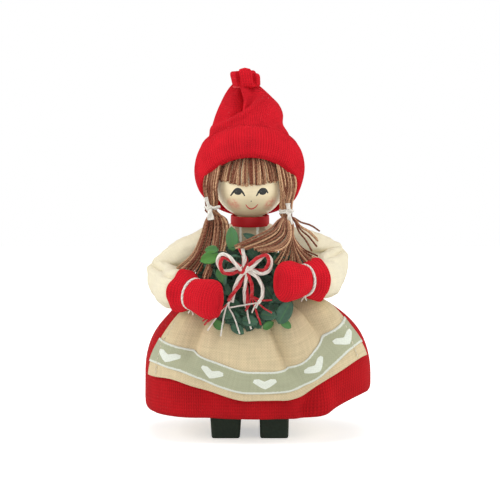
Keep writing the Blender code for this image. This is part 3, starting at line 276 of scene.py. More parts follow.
# Painted face from the ball's middle in millimetres: each eye with its lid's points across, up and half width
EYES = {
    -6.7: (
        (-10.7, -6.0, 0.36),
        (-9.2, -3.8, 0.64),
        (-7.5, -2.0, 0.74),
        (-5.6, -2.0, 0.74),
        (-4.1, -3.6, 0.64),
        (-2.8, -5.7, 0.36),
    ),
    7.0: (
        (3.5, -5.7, 0.36),
        (4.7, -3.6, 0.64),
        (6.2, -2.0, 0.74),
        (8.0, -2.0, 0.74),
        (9.0, -2.9, 0.62),
        (9.9, -4.4, 0.36),
    ),
}
EYE_Z = -3.5
EYE_HALF = (2.25, 1.8)
# Lighter dot in each pupil, a painted highlight: across from the eye's middle, up, half width and half height
GLINT = (-0.9, -3.2, 0.40, 0.40)
NOSE = (0.66, -8.7, 0.33, 0.33)
SMILE = ((-2.4, -10.6, 0.20), (-1.1, -12.5, 0.38), (0.7, -13.4, 0.42), (2.7, -12.5, 0.38), (4.4, -10.6, 0.20))
CHEEKS = (-9.2, 11.4)
CHEEK_Z = -10.9
BLUSH_FADE = (1.6 * MM, 5.6 * MM)

# Hair: strands of the fringe's two layers and of each side bundle, and the golden turn that fills a disc
FRINGE_STRANDS = (46, 40)
FRINGE_SPAN = (-66, 68)
FRINGE_TOP = math.radians(62)
SIDE_STRANDS = 45
SIDE_OUT = {"right": 1.2, "left": 0.0}
SPIRAL = 2.4
HAIR_TWIST = {"plies": 2, "pitch": 2.2 * MM, "sides": 8}
PALE_SHARE = 0.34
SPLIT = 9.0 * MM

# Hair ties from the middle of the head, and their knots aside
TIES = {"right": np.array([-21.2, -12.5, -12.8]) * MM, "left": np.array([19.9, -12.8, -14.6]) * MM}
TIE_REACH = 3.2 * MM
KNOT_ASIDE = {"right": -1.0 * MM, "left": 1.6 * MM}

# Free ends of each hair tie: share of the yarn's thickness, then two points from its knot in millimetres
TIE_ENDS = {
    "right": (
        (0.8, (-1.0, -0.6, 3.0), (-2.2, -0.4, 6.2)),
        (1.3, (0.3, -0.8, -2.8), (0.7, -0.6, -6.0)),
        (0.6, (2.8, -0.6, 0.6), (5.6, 0.6, 0.9)),
    ),
    "left": (
        (1.0, (-0.4, -0.6, 2.4), (-0.7, -0.4, 4.8)),
        (1.05, (0.2, -0.8, -3.2), (0.7, -0.6, -6.8)),
        (0.5, (-2.6, -0.5, -0.4), (-4.8, 0.8, -0.6)),
    ),
}

# Loose hair from its tie: strands, half the tress's depth, four points down each of its edges
RIGHT_PARTING = ((2.6, -3.2, -7.0), (2.4, -6.5, -16.6), (0.6, -16.5, -26.7), (-2.4, -25.0, -36.2))
TRESSES = {
    "right": (
        (
            26,
            2.6,
            ((-3.2, -2.6, -7.0), (-6.0, -4.5, -16.0), (-10.6, -11.5, -24.9), (-18.6, -17.0, -31.6)),
            RIGHT_PARTING,
        ),
        (
            20,
            2.4,
            RIGHT_PARTING,
            ((8.4, -3.0, -6.8), (9.4, -5.5, -14.7), (8.1, -9.5, -20.5), (6.8, -13.5, -25.5)),
        ),
    ),
    "left": (
        (
            34,
            2.2,
            ((-4.6, -10.6, -4.3), (-8.6, -21.2, -7.3), (-17.8, -27.4, -11.0), (-29.2, -30.8, -15.6)),
            ((2.4, -7.4, -6.5), (2.4, -16.4, -14.1), (-2.4, -25.8, -17.9), (-12.4, -30.2, -18.4)),
        ),
        (
            10,
            2.2,
            ((1.4, -5.4, -6.4), (0.7, -12.2, -13.6), (-3.1, -21.8, -20.8), (-7.2, -26.6, -26.5)),
            ((2.8, -4.0, -7.0), (3.4, -8.2, -14.9), (1.5, -17.2, -22.2), (-1.4, -24.2, -29.7)),
        ),
        (
            13,
            1.8,
            ((3.0, -3.6, -6.8), (3.4, -7.2, -14.3), (6.4, -16.2, -20.4), (13.0, -27.0, -27.4)),
            ((3.6, -3.0, -6.6), (4.2, -5.2, -13.8), (9.2, -12.6, -19.4), (17.4, -21.6, -22.6)),
        ),
        (
            5,
            0.8,
            ((4.6, 0.6, -4.4), (8.5, 1.8, -7.3), (13.9, 2.8, -9.4), (19.6, 3.8, -13.6)),
            ((4.4, -0.6, -5.2), (7.4, -1.2, -11.3), (11.2, -2.2, -15.7), (15.4, -5.2, -22.0)),
        ),
        (
            12,
            2.0,
            ((2.6, -3.8, -7.0), (3.2, -7.8, -14.6), (3.0, -16.8, -21.6), (0.6, -24.2, -31.0)),
            ((3.0, -3.6, -6.8), (3.4, -7.2, -14.3), (6.0, -16.4, -20.8), (11.4, -26.4, -28.6)),
        ),
    ),
}

# Cap: tilt of its rim and tip from upright, and its sizes
RIM_TILT = 44.0
TIP_TILT = 5.0
RIM_BELOW = 4.0 * MM
CROWN_LENGTH = 60.3 * MM
CROWN_RADIUS = 23.9 * MM
CROWN_LEAN = -2.6 * MM
CROWN_WALL = 1.2 * MM
CUFF_HEIGHT = 24.5 * MM
CUFF_THICK = 3.6 * MM
CUFF_BULGE = 2.6 * MM
CUFF_LIFT = 2.5 * MM
CUFF_RIBS = 140

# Share of the crown's length against its radius in millimetres
CROWN = (
    (0.0, 23.9),
    (0.40, 23.6),
    (0.56, 22.0),
    (0.70, 19.7),
    (0.785, 18.0),
    (0.86, 15.8),
    (0.932, 12.7),
    (1.0, 9.0),
    (1.04, 6.6),
)

# The crown's slanting fold and its crease, across and up in millimetres as the camera sees them
FOLD_LINE = (
    (-26.0, 170.5),
    (-19.6, 172.9),
    (-13.7, 175.2),
    (-8.2, 178.2),
    (-4.4, 179.5),
    (0.7, 183.3),
    (4.4, 187.1),
    (8.0, 189.5),
    (14.0, 192.0),
)
CREASE_LINE = ((176.0, -8.6), (178.8, -8.0), (180.8, -6.2), (187.1, -5.2), (193.7, -7.3))

# Section of the turned-up cuff: shares of its height, thickness and bulge
CAP_CUFF = (
    (0.97, 0.0, 0.0),
    (0.50, 0.0, 0.0),
    (0.03, 0.0, 0.0),
    (-0.02, 0.45, 0.0),
    (0.06, 1.0, 0.1),
    (0.28, 1.0, 0.8),
    (0.52, 1.0, 1.0),
    (0.78, 1.0, 0.62),
    (0.95, 0.92, 0.0),
    (1.00, 0.45, 0.0),
    (0.97, 0.0, 0.0),
)

# Tuft: section by share of each fold's height, radius and share of the grooves; grooves and heights by angle
TUFT_ASIDE = np.array([0.8, 0.0, 0.5]) * MM
TUFT = (
    (-0.25, 3.0, 0.0),
    (-0.14, 6.2, 0.1),
    (0.03, 7.7, 0.5),
    (0.4, 8.1, 1.0),
    (0.75, 8.3, 1.0),
    (0.95, 7.7, 1.0),
    (1.0, 6.2, 0.9),
    (0.9, 4.6, 0.7),
    (0.6, 2.6, 0.3),
    (0.5, 0.0, 0.0),
)
TUFT_GROOVES = ((239, 6), (312, 8), (20, 10), (95, 9), (165, 10))
TUFT_TURNS = (165, 232, 246, 275, 300, 315, 345, 372, 400, 450, 525)
TUFT_RISES = (7.8, 8.0, 9.1, 10.0, 9.4, 6.8, 6.9, 6.6, 8.4, 8.2, 7.8)


def linear(hex_colour):
    """Scene-linear red, green and blue of an sRGB hex colour."""
    channels = [int(hex_colour[i : i + 2], 16) / 255 for i in (1, 3, 5)]
    return tuple(c / 12.92 if c <= 0.04045 else ((c + 0.055) / 1.055) ** 2.4 for c in channels)


def size(name, description, default):
    """A length property in metres."""
    return bpy.props.FloatProperty(
        name=name, description=description, default=default, min=0.0, unit="LENGTH"
    )


def colour(name, description, hex_colour):
    """A colour property."""
    return bpy.props.FloatVectorProperty(
        name=name, description=description, default=linear(hex_colour), subtype="COLOR", min=0.0, max=1.0
    )


class DollSizes(bpy.types.PropertyGroup):
    """Sizes of the doll's cloth, yarn and leaves."""

    hair_yarn: size("Hair yarn", "Thickness of one strand of hair", 1.0 * MM)
    tie_yarn: size("Tie yarn", "Thickness of the soft yarn of the hair ties", 2.7 * MM)
    bow_yarn: size("Bow yarn", "Thickness of each of the bow's two yarns", 2.0 * MM)
    wrist_yarn: size("Wrist yarn", "Thickness of the yarn round each wrist", 1.5 * MM)
    cap_stitch: size("Cap stitch", "Width of one stitch of cap and mittens, drawn a little coarse", 1.35 * MM)
    skirt_rib: size("Skirt rib", "Width of one rib of the skirt at its hem, drawn a little coarse", 1.25 * MM)
    linen_thread: size("Linen thread", "Spacing of the apron's threads, drawn coarser than real", 0.75 * MM)
    leaf_length: size("Leaf length", "Length of a leaf of the wreath", 10.5 * MM)
    leaf_width: size("Leaf width", "Width of a leaf of the wreath", 7.0 * MM)
    heart_width: size("Heart width", "Width of a woven heart", 13.0 * MM)


class DollColours(bpy.types.PropertyGroup):
    """Colours of the doll's cloth, yarn, leaves and paint."""

    cap: colour("Cap and mittens", "Red of the knitted cap and mittens", "#D21827")
    skirt: colour("Skirt", "Red of the ribbed skirt", "#B5141C")
    linen: colour("Linen", "Beige of the apron", "#CFBE9A")
    bodice: colour("Bodice", "Grey beige of the chest panel", "#A8987E")
    ribbon: colour("Ribbon", "Sage of the woven ribbon", "#A8AB8F")
    hearts: colour("Hearts", "White of the hearts and ribbon edges", "#DDE2D6")
    blouse: colour("Blouse", "Cream of the blouse", "#E6DDC2")
    collar: colour("Collar", "Red of the satin collar", "#B4121B")
    hair_dark: colour("Dark hair", "Brown of the darker strands", "#7A4230")
    hair_light: colour("Light hair", "Beige of the lighter strands", "#DDB28A")
    leaf_dark: colour("Dark leaves", "Blue green of the lower leaves", "#456B55")
    leaf_light: colour("Light leaves", "Fresh green of the upper leaves", "#4F8739")
    yarn_white: colour("White yarn", "White of the ties and the bow", "#EDE9DE")
    yarn_red: colour("Red yarn", "Red of the bow", "#C9202B")
    skin: colour("Face", "Painted wood of the face", "#F3E4BE")
    blush: colour("Blush", "Rose of the cheeks", "#E87A64")
    ink: colour("Eyes", "Charcoal of the eyes", "#111613")
    lips: colour("Lips", "Red of the smile", "#D63A34")
    boots: colour("Boots", "Black paint of the boots", "#263027")
    wood: colour("Wood", "Pale wood of the dowels and boards", "#D6BF94")


# Numbers and curves


def unit(ways):
    """Vectors scaled to length 1."""
    return ways / np.linalg.norm(ways, axis=-1, keepdims=True)


def smoothstep(low, high, value):
    """0 below low, 1 above high, and smooth between."""
    t = np.clip((value - low) / (high - low), 0.0, 1.0)
    return t * t * (3 - 2 * t)


def bump(value, half):
    """A bell that is 1 in the middle and fades over a half width."""
    return np.exp(-((value / half) ** 2))


def wobble(places, length, seed, waves=9):
    """Smooth unevenness of about -1 to 1: a seeded sum of plane waves about one length long."""
    rng = np.random.default_rng(seed)
    ways = unit(rng.normal(size=(waves, places.shape[-1])))
    ways = ways * TAU / (length * rng.uniform(0.7, 1.5, (waves, 1)))
    return np.sin(places @ ways.T + rng.uniform(0, TAU, waves)).sum(axis=-1) / math.sqrt(waves)


def once_round(count):
    """Angles once round, evenly spaced."""
    return np.linspace(0, TAU, count, endpoint=False)


def compass(angles):
    """Unit vectors in plan: angle 0 is the front, and the doll's left is at a quarter turn."""
    return np.stack([np.sin(angles), -np.cos(angles)], axis=-1)


def circle(angles):
    """Unit vectors in plan, where angle 0 is the doll's left."""
    return np.stack([np.cos(angles), np.sin(angles)], axis=-1)


def stacked(x, y, z):
    """Points from their three coordinates, each an array or a number."""
    return np.stack(np.broadcast_arrays(x, y, z), axis=-1)


def about_axis(angles, reach, height):
    """Points at an angle and a reach from the doll's axis, and at a height."""
    return stacked(reach * np.sin(angles), -reach * np.cos(angles), height)


def curve_through(points, spans):
    """Points along a Catmull-Rom curve through the points on the second last axis."""
    points = np.asarray(points, float)
    first = 2 * points[..., :1, :] - points[..., 1:2, :]
    last = 2 * points[..., -1:, :] - points[..., -2:-1, :]
    ends = np.concatenate([first, points, last], axis=-2)
    runs = points.shape[-2] - 1
    a, b, c, d = (ends[..., i : i + runs, None, :] for i in range(4))
    t = np.linspace(0, 1, spans, endpoint=False)[:, None]
    curve = 0.5 * (2 * b + (c - a) * t + (2 * a - 5 * b + 4 * c - d) * t**2 + (3 * b - a - 3 * c + d) * t**3)
    curve = curve.reshape(*points.shape[:-2], runs * spans, points.shape[-1])
    return np.concatenate([curve, points[..., -1:, :]], axis=-2)


def run_lengths(points):
    """Distance travelled along the points on the second last axis."""
    steps = np.linalg.norm(np.diff(points, axis=-2), axis=-1)
    return np.concatenate([np.zeros_like(steps[..., :1]), np.cumsum(steps, axis=-1)], axis=-1)


def read_off(spots, along, rows):
    """Rows of a table read off at distances along it."""
    return np.stack([np.interp(spots, along, column) for column in rows.T], axis=-1)


def respaced(path, count):
    """The same path with evenly spaced points."""
    along = run_lengths(path)
    return read_off(np.linspace(0, along[-1], count), along, path)


def path_axes(path, facing):
    """Unit vectors across a path and out of it, both square to its way."""
    ahead = unit(np.gradient(path, axis=-2))
    across = unit(np.cross(ahead, facing))
    return across, np.cross(ahead, across)


# Skins and pieces

Patch = collections.namedtuple("Patch", "points quads uv tint")
PLY_DEPTH = 0.09
WELD = 1e-7


def uv_grid(across, up):
    """UVs of a grid from its distances across and up."""
    return np.stack(np.meshgrid(across, up), axis=-1)


def mean_rise(rings):
    """Distance up from ring to ring, averaged over their columns."""
    return run_lengths(rings.transpose(1, 0, 2)).mean(axis=0)


def laid_flat(points, wrap):
    """UVs in metres: across along the longest row, and up along the mean column."""
    rings = np.concatenate([points, points[:, :1]], axis=1) if wrap else points
    across = run_lengths(rings)
    return uv_grid(across[across[:, -1].argmax()], mean_rise(points))


def grid_patch(points, uv=None, wrap=False, tint=0.0):
    """A skin of quads over rows of points; wrap closes each row into a ring."""
    rows, columns = points.shape[:2]
    uv = laid_flat(points, wrap) if uv is None else uv
    r, c = np.meshgrid(np.arange(rows - 1), np.arange(columns if wrap else columns - 1), indexing="ij")
    corners = ((r, c), (r, c + 1), (r + 1, c + 1), (r + 1, c))
    quads = np.stack([row * columns + column % columns for row, column in corners], axis=-1).reshape(-1, 4)
    corner_uv = np.stack([uv[row, column] for row, column in corners], axis=-2).reshape(-1, 4, 2)
    return Patch(points.reshape(-1, 3), quads, corner_uv, np.broadcast_to(tint, (rows, columns)).reshape(-1))


def joined(patches, tint=None):
    """Several skins as one, with one tint for all where it is given."""
    points, quads, uv, tints = zip(*patches)
    starts = np.cumsum([0] + [len(each) for each in points])
    points = np.concatenate(points)
    tints = np.concatenate(tints) if tint is None else np.full(len(points), tint)
    quads = np.concatenate([each + start for each, start in zip(quads, starts)])
    return Patch(points, quads, np.concatenate(uv), tints)


def with_poles(rings, first, last):
    """Rings of a tube, closed at both ends by a point."""
    poles = [np.broadcast_to(pole, (1, *rings.shape[1:])) for pole in (first, last)]
    return np.concatenate([poles[0], rings, poles[1]])


def tubes(paths, radii, sides=6, facing=(0.0, -1.0, 0.0), tint=0.0, plies=0, pitch=1.0):
    """Yarns along many paths: rings square to the path, lobed by the plies' twist, and closed ends."""
    paths = np.asarray(paths, float)
    count, steps = paths.shape[:2]
    across, out = path_axes(paths, facing)
    along = run_lengths(paths)
    angles = once_round(sides)
    lobes = 1 + PLY_DEPTH * np.cos(plies * angles - TAU * along[..., None] / pitch) * (plies > 0)
    reach = np.broadcast_to(radii, (count, steps))[..., None] * lobes
    turn = np.cos(angles)[:, None] * across[:, :, None] + np.sin(angles)[:, None] * out[:, :, None]
    rings = paths[:, :, None] + reach[..., None] * turn
    up = np.concatenate([along[:, :1], along, along[:, -1:]], axis=1)
    round_uv = np.linspace(0, 1, sides + 1)
    skins = []
    for path, ring, rise, shade_of in zip(paths, rings, up, np.broadcast_to(tint, count)):
        skins.append(grid_patch(with_poles(ring, path[0], path[-1]), uv_grid(round_uv, rise), True, shade_of))
    return joined(skins)


def placed(name, data):
    """A new object of the scene."""
    made = bpy.data.objects.new(name, data)
    bpy.context.scene.collection.objects.link(made)
    return made


def add_piece(name, patch, material, body=None, nodes=(), wall=0.0, outward=True):
    """Put a skin into a new mesh at the origin, weld its seams and poles, and let it ride on its body."""
    mesh = bpy.data.meshes.new(name)
    mesh.from_pydata((patch.points + MOVED).tolist(), [], patch.quads.tolist())
    mesh.uv_layers.new(name="UVMap").uv.foreach_set("vector", patch.uv.astype(np.float32).ravel())
    mesh.attributes.new("tint", "FLOAT", "POINT").data.foreach_set("value", patch.tint.astype(np.float32))
    bm = bmesh.new()
    bm.from_mesh(mesh)
    bmesh.ops.remove_doubles(bm, verts=bm.verts, dist=WELD)
    bm.to_mesh(mesh)
    bm.free()
    mesh.materials.append(material)
    mesh.shade_smooth()
    piece = placed(name, mesh)
    if wall:
        skin = piece.modifiers.new("Wall", "SOLIDIFY")
        skin.thickness = wall
        skin.offset = 1.0 if outward else -1.0
    if body:
        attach(piece, body)
    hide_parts(*nodes)
    return piece


# Materials


def shade(rgb, share=1.0):
    """A colour made darker or lighter by a share, as RGBA."""
    return (*(min(c * share, 1.0) for c in rgb), 1.0)


class Nodes:
    """Fills a shader tree: a method adds a node and gives its output."""

    def __init__(self, tree):
        self.tree = tree
        tree.nodes.clear()

    def add(self, kind, inputs, **settings):
        """A node whose inputs are values or other nodes' outputs."""
        made = self.tree.nodes.new("ShaderNode" + kind)
        for key, value in settings.items():
            setattr(made, key, value)
        for key, value in inputs.items():
            if isinstance(value, bpy.types.NodeSocket):
                self.tree.links.new(value, made.inputs[key])
            else:
                made.inputs[key].default_value = value
        return made

    def uv(self):
        """The piece's UV map."""
        return self.add("UVMap", {}).outputs[0]

    def parts(self, vector):
        """The first two parts of a vector."""
        return self.add("SeparateXYZ", {0: vector}).outputs[:2]

    def place(self):
        """Object coordinates."""
        return self.add("TexCoord", {}).outputs["Object"]

    def tint(self):
        """The piece's own tint."""
        return self.add("Attribute", {}, attribute_name="tint").outputs["Fac"]

    def math(self, operation, *values, clamp=False):
        """A calculation with up to three values."""
        return self.add("Math", dict(enumerate(values)), operation=operation, use_clamp=clamp).outputs[0]

    def wave(self, value, rate, operation="SINE"):
        """A sine or cosine of a value times a rate."""
        return self.math(operation, self.math("MULTIPLY", value, rate))

    def stretched(self, vector, shares):
        """A vector with each part times a share."""
        return self.add("VectorMath", {0: vector, 1: shares}, operation="MULTIPLY").outputs[0]

    def noise(self, vector, scale, detail=2.0, distortion=0.0):
        """Smooth noise from 0 to 1."""
        inputs = {"Vector": vector, "Scale": scale, "Detail": detail, "Distortion": distortion}
        return self.add("TexNoise", inputs).outputs["Fac"]

    def ramp(self, value, low, high, first=0.0, last=1.0, kind="LINEAR"):
        """First below low, last above high, and a ramp between."""
        inputs = {"Value": value, "From Min": low, "From Max": high, "To Min": first, "To Max": last}
        return self.add("MapRange", inputs, interpolation_type=kind).outputs[0]

    def mix(self, share, first, second, kind="MIX"):
        """Two colours mixed by a share."""
        return self.add("Mix", {0: share, 6: first, 7: second}, data_type="RGBA", blend_type=kind).outputs[2]

    def seen(self, *rays):
        """1 for rays of the named kinds."""
        path = self.add("LightPath", {})
        found = path.outputs[rays[0]]
        for ray in rays[1:]:
            found = self.math("MAXIMUM", found, path.outputs[ray])
        return found


class Finish(Nodes):
    """A material with its shader: constant sockets first, then colour and relief from nodes."""

    def __init__(self, name, roughness, sockets=None):
        self.material = bpy.data.materials.get(name) or bpy.data.materials.new(name)
        self.material.use_nodes = True
        super().__init__(self.material.node_tree)
        self.shader = self.add("BsdfPrincipled", {"Roughness": roughness, **(sockets or {})})
        self.add("OutputMaterial", {"Surface": self.shader.outputs[0]})

    def link(self, output, socket):
        """Lead an output into one of the shader's sockets."""
        self.tree.links.new(output, self.shader.inputs[socket])

    def paint(self, output):
        """Set the base colour."""
        self.base = output
        self.link(output, "Base Color")

    def tones(self, share, rgb, dark, light):
        """Set the base colour to a mix of a darker and a lighter shade."""
        self.paint(self.mix(share, shade(rgb, dark), shade(rgb, light)))

    def relief(self, height, distance, strength):
        """Set the bump."""
        inputs = {"Height": height, "Distance": distance, "Strength": strength}
        self.link(self.add("Bump", inputs).outputs[0], "Normal")


def dull(sheen, nap, gloss):
    """Sockets of a dull cloth: sheen, softness of its nap and a little gloss."""
    return {"Sheen Weight": sheen, "Sheen Roughness": nap, "Specular IOR Level": gloss}


def knit(name, rgb, wale, course, depth=0.35 * MM, sheen=0.25):
    """Fine machine knit: columns of slanted stitches with a painted highlight on their ridges, painted shade
    in the gaps between them and a soft nap.
    """
    finish = Finish(name, 0.95, {**dull(sheen, 0.5, 0.15), "Sheen Tint": shade(rgb, 1.6)})
    across, up = finish.parts(finish.uv())
    column = finish.math("FRACT", finish.math("MULTIPLY", across, 1 / wale))
    lean = finish.math("ABSOLUTE", finish.math("SUBTRACT", column, 0.5))
    stitch = finish.wave(finish.math("MULTIPLY_ADD", up, 1 / course, lean), TAU)
    ridge = finish.math("MULTIPLY_ADD", lean, -1.5, 0.75)
    height = finish.math("MULTIPLY_ADD", stitch, 0.22, ridge)
    place = finish.place()
    tone = finish.math("MULTIPLY_ADD", height, 0.75, finish.noise(place, 90.0, 4.0))
    # Colour follows the stitch height: painted highlight on the ridges and painted shade in the gaps, plus
    # random tone from the noise
    finish.tones(finish.ramp(tone, 0.3, 1.3), rgb, 0.68, 1.16)
    fuzz = finish.noise(place, 2600.0)
    finish.relief(finish.math("MULTIPLY_ADD", fuzz, 0.35, height), depth, 0.8)
    return finish.material


def woven(name, rgb, thread, contrast=0.16, depth=0.16 * MM, sheen=0.12):
    """Plain weave: threads over and under each other, with painted shade where they dip under, and thicker
    and thinner slubs both ways.
    """
    finish = Finish(name, 0.93, dull(sheen, 0.5, 0.15))
    uv = finish.uv()
    waves = [finish.wave(side, math.pi / thread) for side in finish.parts(uv)]
    ways = ((70.0, 900.0, 1.0), (900.0, 70.0, 1.0))
    slubs = [finish.noise(finish.stretched(uv, way), 1.0, 3.0) for way in ways]
    check = finish.math("MULTIPLY", *waves)
    tone = finish.math("MULTIPLY_ADD", check, 0.22, finish.math("ADD", *slubs))
    # The weave's check darkens the colour where threads dip under, as painted shade; the slubs give the
    # threads' own uneven tone
    finish.tones(finish.ramp(tone, 0.55, 1.45), rgb, 1 - contrast, 1 + contrast)
    finish.relief(tone, depth, 0.7)
    return finish


def yarn(name, dark, light, plies=2, pitch=3.0 * MM, depth=0.25 * MM, sheen=0.2):
    """Twisted yarn: plies that wind round each other with painted shade in the grooves between them, each
    strand with its own tint, and a fuzzy halo.
    """
    finish = Finish(name, 0.95, dull(sheen, 0.6, 0.12))
    around, along = finish.parts(finish.uv())
    wind = finish.math("MULTIPLY", along, -1 / pitch)
    ply = finish.wave(finish.math("MULTIPLY_ADD", around, float(plies), wind), TAU, "COSINE")
    fibre = finish.noise(finish.place(), 700.0, 3.0)
    heather = finish.math("MULTIPLY_ADD", fibre, 0.5, finish.tint())
    strand = finish.mix(finish.math("SUBTRACT", heather, 0.25, clamp=True), shade(dark), shade(light))
    # Painted shade in the grooves between the plies and a faint painted highlight on their crests, multiplied
    # into the colour
    groove = finish.ramp(ply, -1.0, 1.0, 0.80, 1.04)
    finish.paint(finish.mix(1.0, strand, groove, "MULTIPLY"))
    finish.relief(finish.math("MULTIPLY_ADD", fibre, 0.8, ply), depth, 0.6)
    return finish.material


def grained(name, rgb, roughness, stretch, contrast, depth, coat=0.0, gloss=0.5):
    """Wood under sanding or paint: long grain streaks, faint pores and small uneven sheen."""
    sockets = {"Coat Weight": coat, "Coat Roughness": 0.3, "Specular IOR Level": gloss}
    finish = Finish(name, roughness, sockets)
    place = finish.place()
    grain = finish.noise(finish.stretched(place, stretch), 1.0, 5.0, 0.4)
    tone = finish.math("MULTIPLY_ADD", finish.noise(place, 160.0, 3.0), 0.6, grain)
    finish.tones(finish.ramp(tone, 0.5, 1.1), rgb, 1 - contrast, 1 + contrast)
    finish.relief(tone, depth, 0.5)
    return finish


def face_paint(rgb, blush, cheeks):
    """Lacquered beech ball: pale paint over faint turning lines, with brushed rose cheeks."""
    finish = grained("lacquered_face", rgb, 0.42, (60.0, 60.0, 900.0), 0.05, 0.02 * MM, coat=0.15)
    place = finish.place()
    brushed = finish.ramp(finish.noise(place, 420.0, 3.0, 1.5), 0.26, 0.66)
    for centre in cheeks:
        far = finish.add("VectorMath", {0: place, 1: tuple(centre)}, operation="DISTANCE").outputs["Value"]
        near = finish.ramp(far, *BLUSH_FADE, 1.0, 0.0, "SMOOTHSTEP")
        soft = finish.math("MULTIPLY", finish.math("MULTIPLY", near, brushed), 0.78)
        finish.paint(finish.mix(soft, finish.base, shade(blush)))
    return finish.material


def brushed_paint(name, rgb):
    """Thin brush paint: slightly uneven colour where the bristles left it thinner."""
    finish = Finish(name, 0.5)
    finish.tones(finish.noise(finish.place(), 900.0, 3.0), rgb, 0.8, 1.35)
    return finish.material


def foliage(dark, light):
    """Printed fabric leaves: each leaf its own green, low tints darkened down to 0.3 of the dark green as
    painted shade deep in the wreath, a pale midrib, side veins and a dull wax.
    """
    finish = Finish("wreath_leaf", 0.55, {"Specular IOR Level": 0.3, "Sheen Weight": 0.08})
    across, along = finish.parts(finish.uv())
    mottle = finish.noise(finish.place(), 420.0, 4.0)
    share = finish.math("MULTIPLY_ADD", mottle, 0.35, finish.tint())
    # Low tints run down to 0.3 of the dark green: painted shade for leaves deep in the wreath and inside its
    # ring
    deep = finish.mix(finish.ramp(share, 0.16, 0.5), shade(dark, 0.30), shade(dark))
    fresh = finish.mix(finish.ramp(share, 0.6, 1.2), deep, shade(light))
    off = finish.math("ABSOLUTE", across)
    finish.paint(finish.mix(finish.ramp(off, 0.03, 0.12, 0.25, 0.0), fresh, shade(light, 1.3)))
    veins = finish.wave(finish.math("MULTIPLY_ADD", off, -0.5, along), 7 * TAU)
    finish.relief(finish.math("MULTIPLY_ADD", veins, 0.3, mottle), 0.2 * MM, 0.5)
    return finish.material


def edged_ribbon(rgb, pale, width):
    """Jacquard ribbon: fine cross ribs in sage, with a broken line of pale loops along both edges."""
    finish = woven("woven_ribbon", rgb, 0.7 * MM, 0.10)
    uv = finish.uv()
    off = finish.math("ABSOLUTE", finish.math("SUBTRACT", finish.parts(uv)[1], width / 2))
    ragged = finish.math("MULTIPLY_ADD", finish.noise(uv, 1300.0), 0.9 * MM, off)
    start = width / 2 - 0.75 * MM
    finish.paint(finish.mix(finish.ramp(ragged, start, start + 0.35 * MM), finish.base, shade(pale, 0.92)))
    return finish.material


def striped_linen(rgb, pale, beige):
    """Chest panel: beige middle between two pale woven lines, greyer cloth outside."""
    finish = woven("striped_linen", rgb, 0.8 * MM, 0.14)
    uv = finish.uv()
    off = finish.math("ABSOLUTE", finish.parts(uv)[0])
    middle = finish.mix(finish.ramp(off, 4.2 * MM, 4.6 * MM, 0.75, 0.0), finish.base, shade(beige, 0.62))
    ragged = finish.math("MULTIPLY_ADD", finish.noise(uv, 1100.0), 1.0 * MM, off)
    gap = finish.math("ABSOLUTE", finish.math("SUBTRACT", ragged, 5.0 * MM))
    finish.paint(finish.mix(finish.ramp(gap, 0.45 * MM, 0.75 * MM, 0.9, 0.0), middle, shade(pale)))
    return finish.material


def satin(rgb):
    """Satin ribbon: a soft band of light across fine cords that run along it, with painted shade between the
    cords.
    """
    finish = Finish("satin_ribbon", 0.5, {"Specular IOR Level": 0.25, "Anisotropic": 0.5})
    uv = finish.uv()
    cord = finish.wave(finish.parts(uv)[1], TAU / (0.7 * MM))
    thread = finish.noise(finish.stretched(uv, (60.0, 1500.0, 1.0)), 1.0)
    tone = finish.math("MULTIPLY_ADD", cord, 0.18, thread)
    # Colour is darker between the cords as painted shade, with streaks of the threads' own tone
    finish.tones(tone, rgb, 0.7, 1.25)
    finish.relief(tone, 0.08 * MM, 0.6)
    return finish.material


def wadding(rgb):
    """Polyester wadding: matted fibres in soft lumps."""
    finish = Finish("fibre_wadding", 1.0, {"Sheen Weight": 0.3})
    lumps = finish.noise(finish.place(), 260.0, 6.0, 1.0)
    finish.tones(lumps, rgb, 0.8, 1.05)
    finish.relief(lumps, 0.8 * MM, 0.8)
    return finish.material


def drawn_wire():
    """Annealed steel wire: grey, with dull and brighter patches from drawing."""
    finish = Finish("annealed_wire", 0.42, {"Metallic": 1.0})
    patches = finish.noise(finish.place(), 300.0, 3.0)
    finish.paint(finish.mix(patches, shade(linear("#77777A")), shade(linear("#A8A8A6"))))
    return finish.material


def paper_floor():
    """Matt pale paper that glows only as it is seen, so that it fades to white and keeps the shadow."""
    finish = Finish("paper_floor", 0.9, {"Specular IOR Level": 0.0, "Emission Color": WHITE})
    grain = finish.noise(finish.place(), 40.0)
    finish.paint(finish.mix(grain, shade(linear("#F2F2F0")), shade(linear("#F7F7F5"))))
    seen = finish.seen("Is Camera Ray", "Is Glossy Ray")
    finish.link(finish.math("MULTIPLY", seen, FLOOR_GLOW), "Emission Strength")
    return finish.material


def white_world():
    """A world that is white where it is seen and gives a softer fill light."""
    world = bpy.data.worlds.new("studio")
    world.use_nodes = True
    nodes = Nodes(world.node_tree)
    seen = nodes.seen("Is Camera Ray", "Is Glossy Ray", "Is Transmission Ray")
    level = nodes.ramp(seen, 0.0, 1.0, WORLD_LIGHT, 1.0)
    sky = nodes.add("Background", {"Color": WHITE, "Strength": level})
    nodes.add("OutputWorld", {"Surface": sky.outputs[0]})
    return world


def paint_nodes(material, *names):
    """Give CAD nodes that stay in view a material."""
    for name in names:
        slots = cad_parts[name].data.materials
        slots.clear()
        slots.append(material)


# Skirt and apron surfaces


def oval(right, left, depth, angles):
    """A squared oval in plan: the shares of its two half widths, each to a power, add up to 1."""
    side = np.where(np.sin(angles) < 0, right, left)
    terms = np.abs(np.sin(angles) / side) ** SQUARENESS + np.abs(np.cos(angles) / depth) ** SQUARENESS
    return terms[..., None] ** (-1 / SQUARENESS) * compass(angles)


def bell(share, full, power):
    """How far the skirt has opened at a share of its length: fast below the waist, then nearly upright."""
    return 1 - (1 - np.clip(share / full, 0.0, 1.0)) ** power


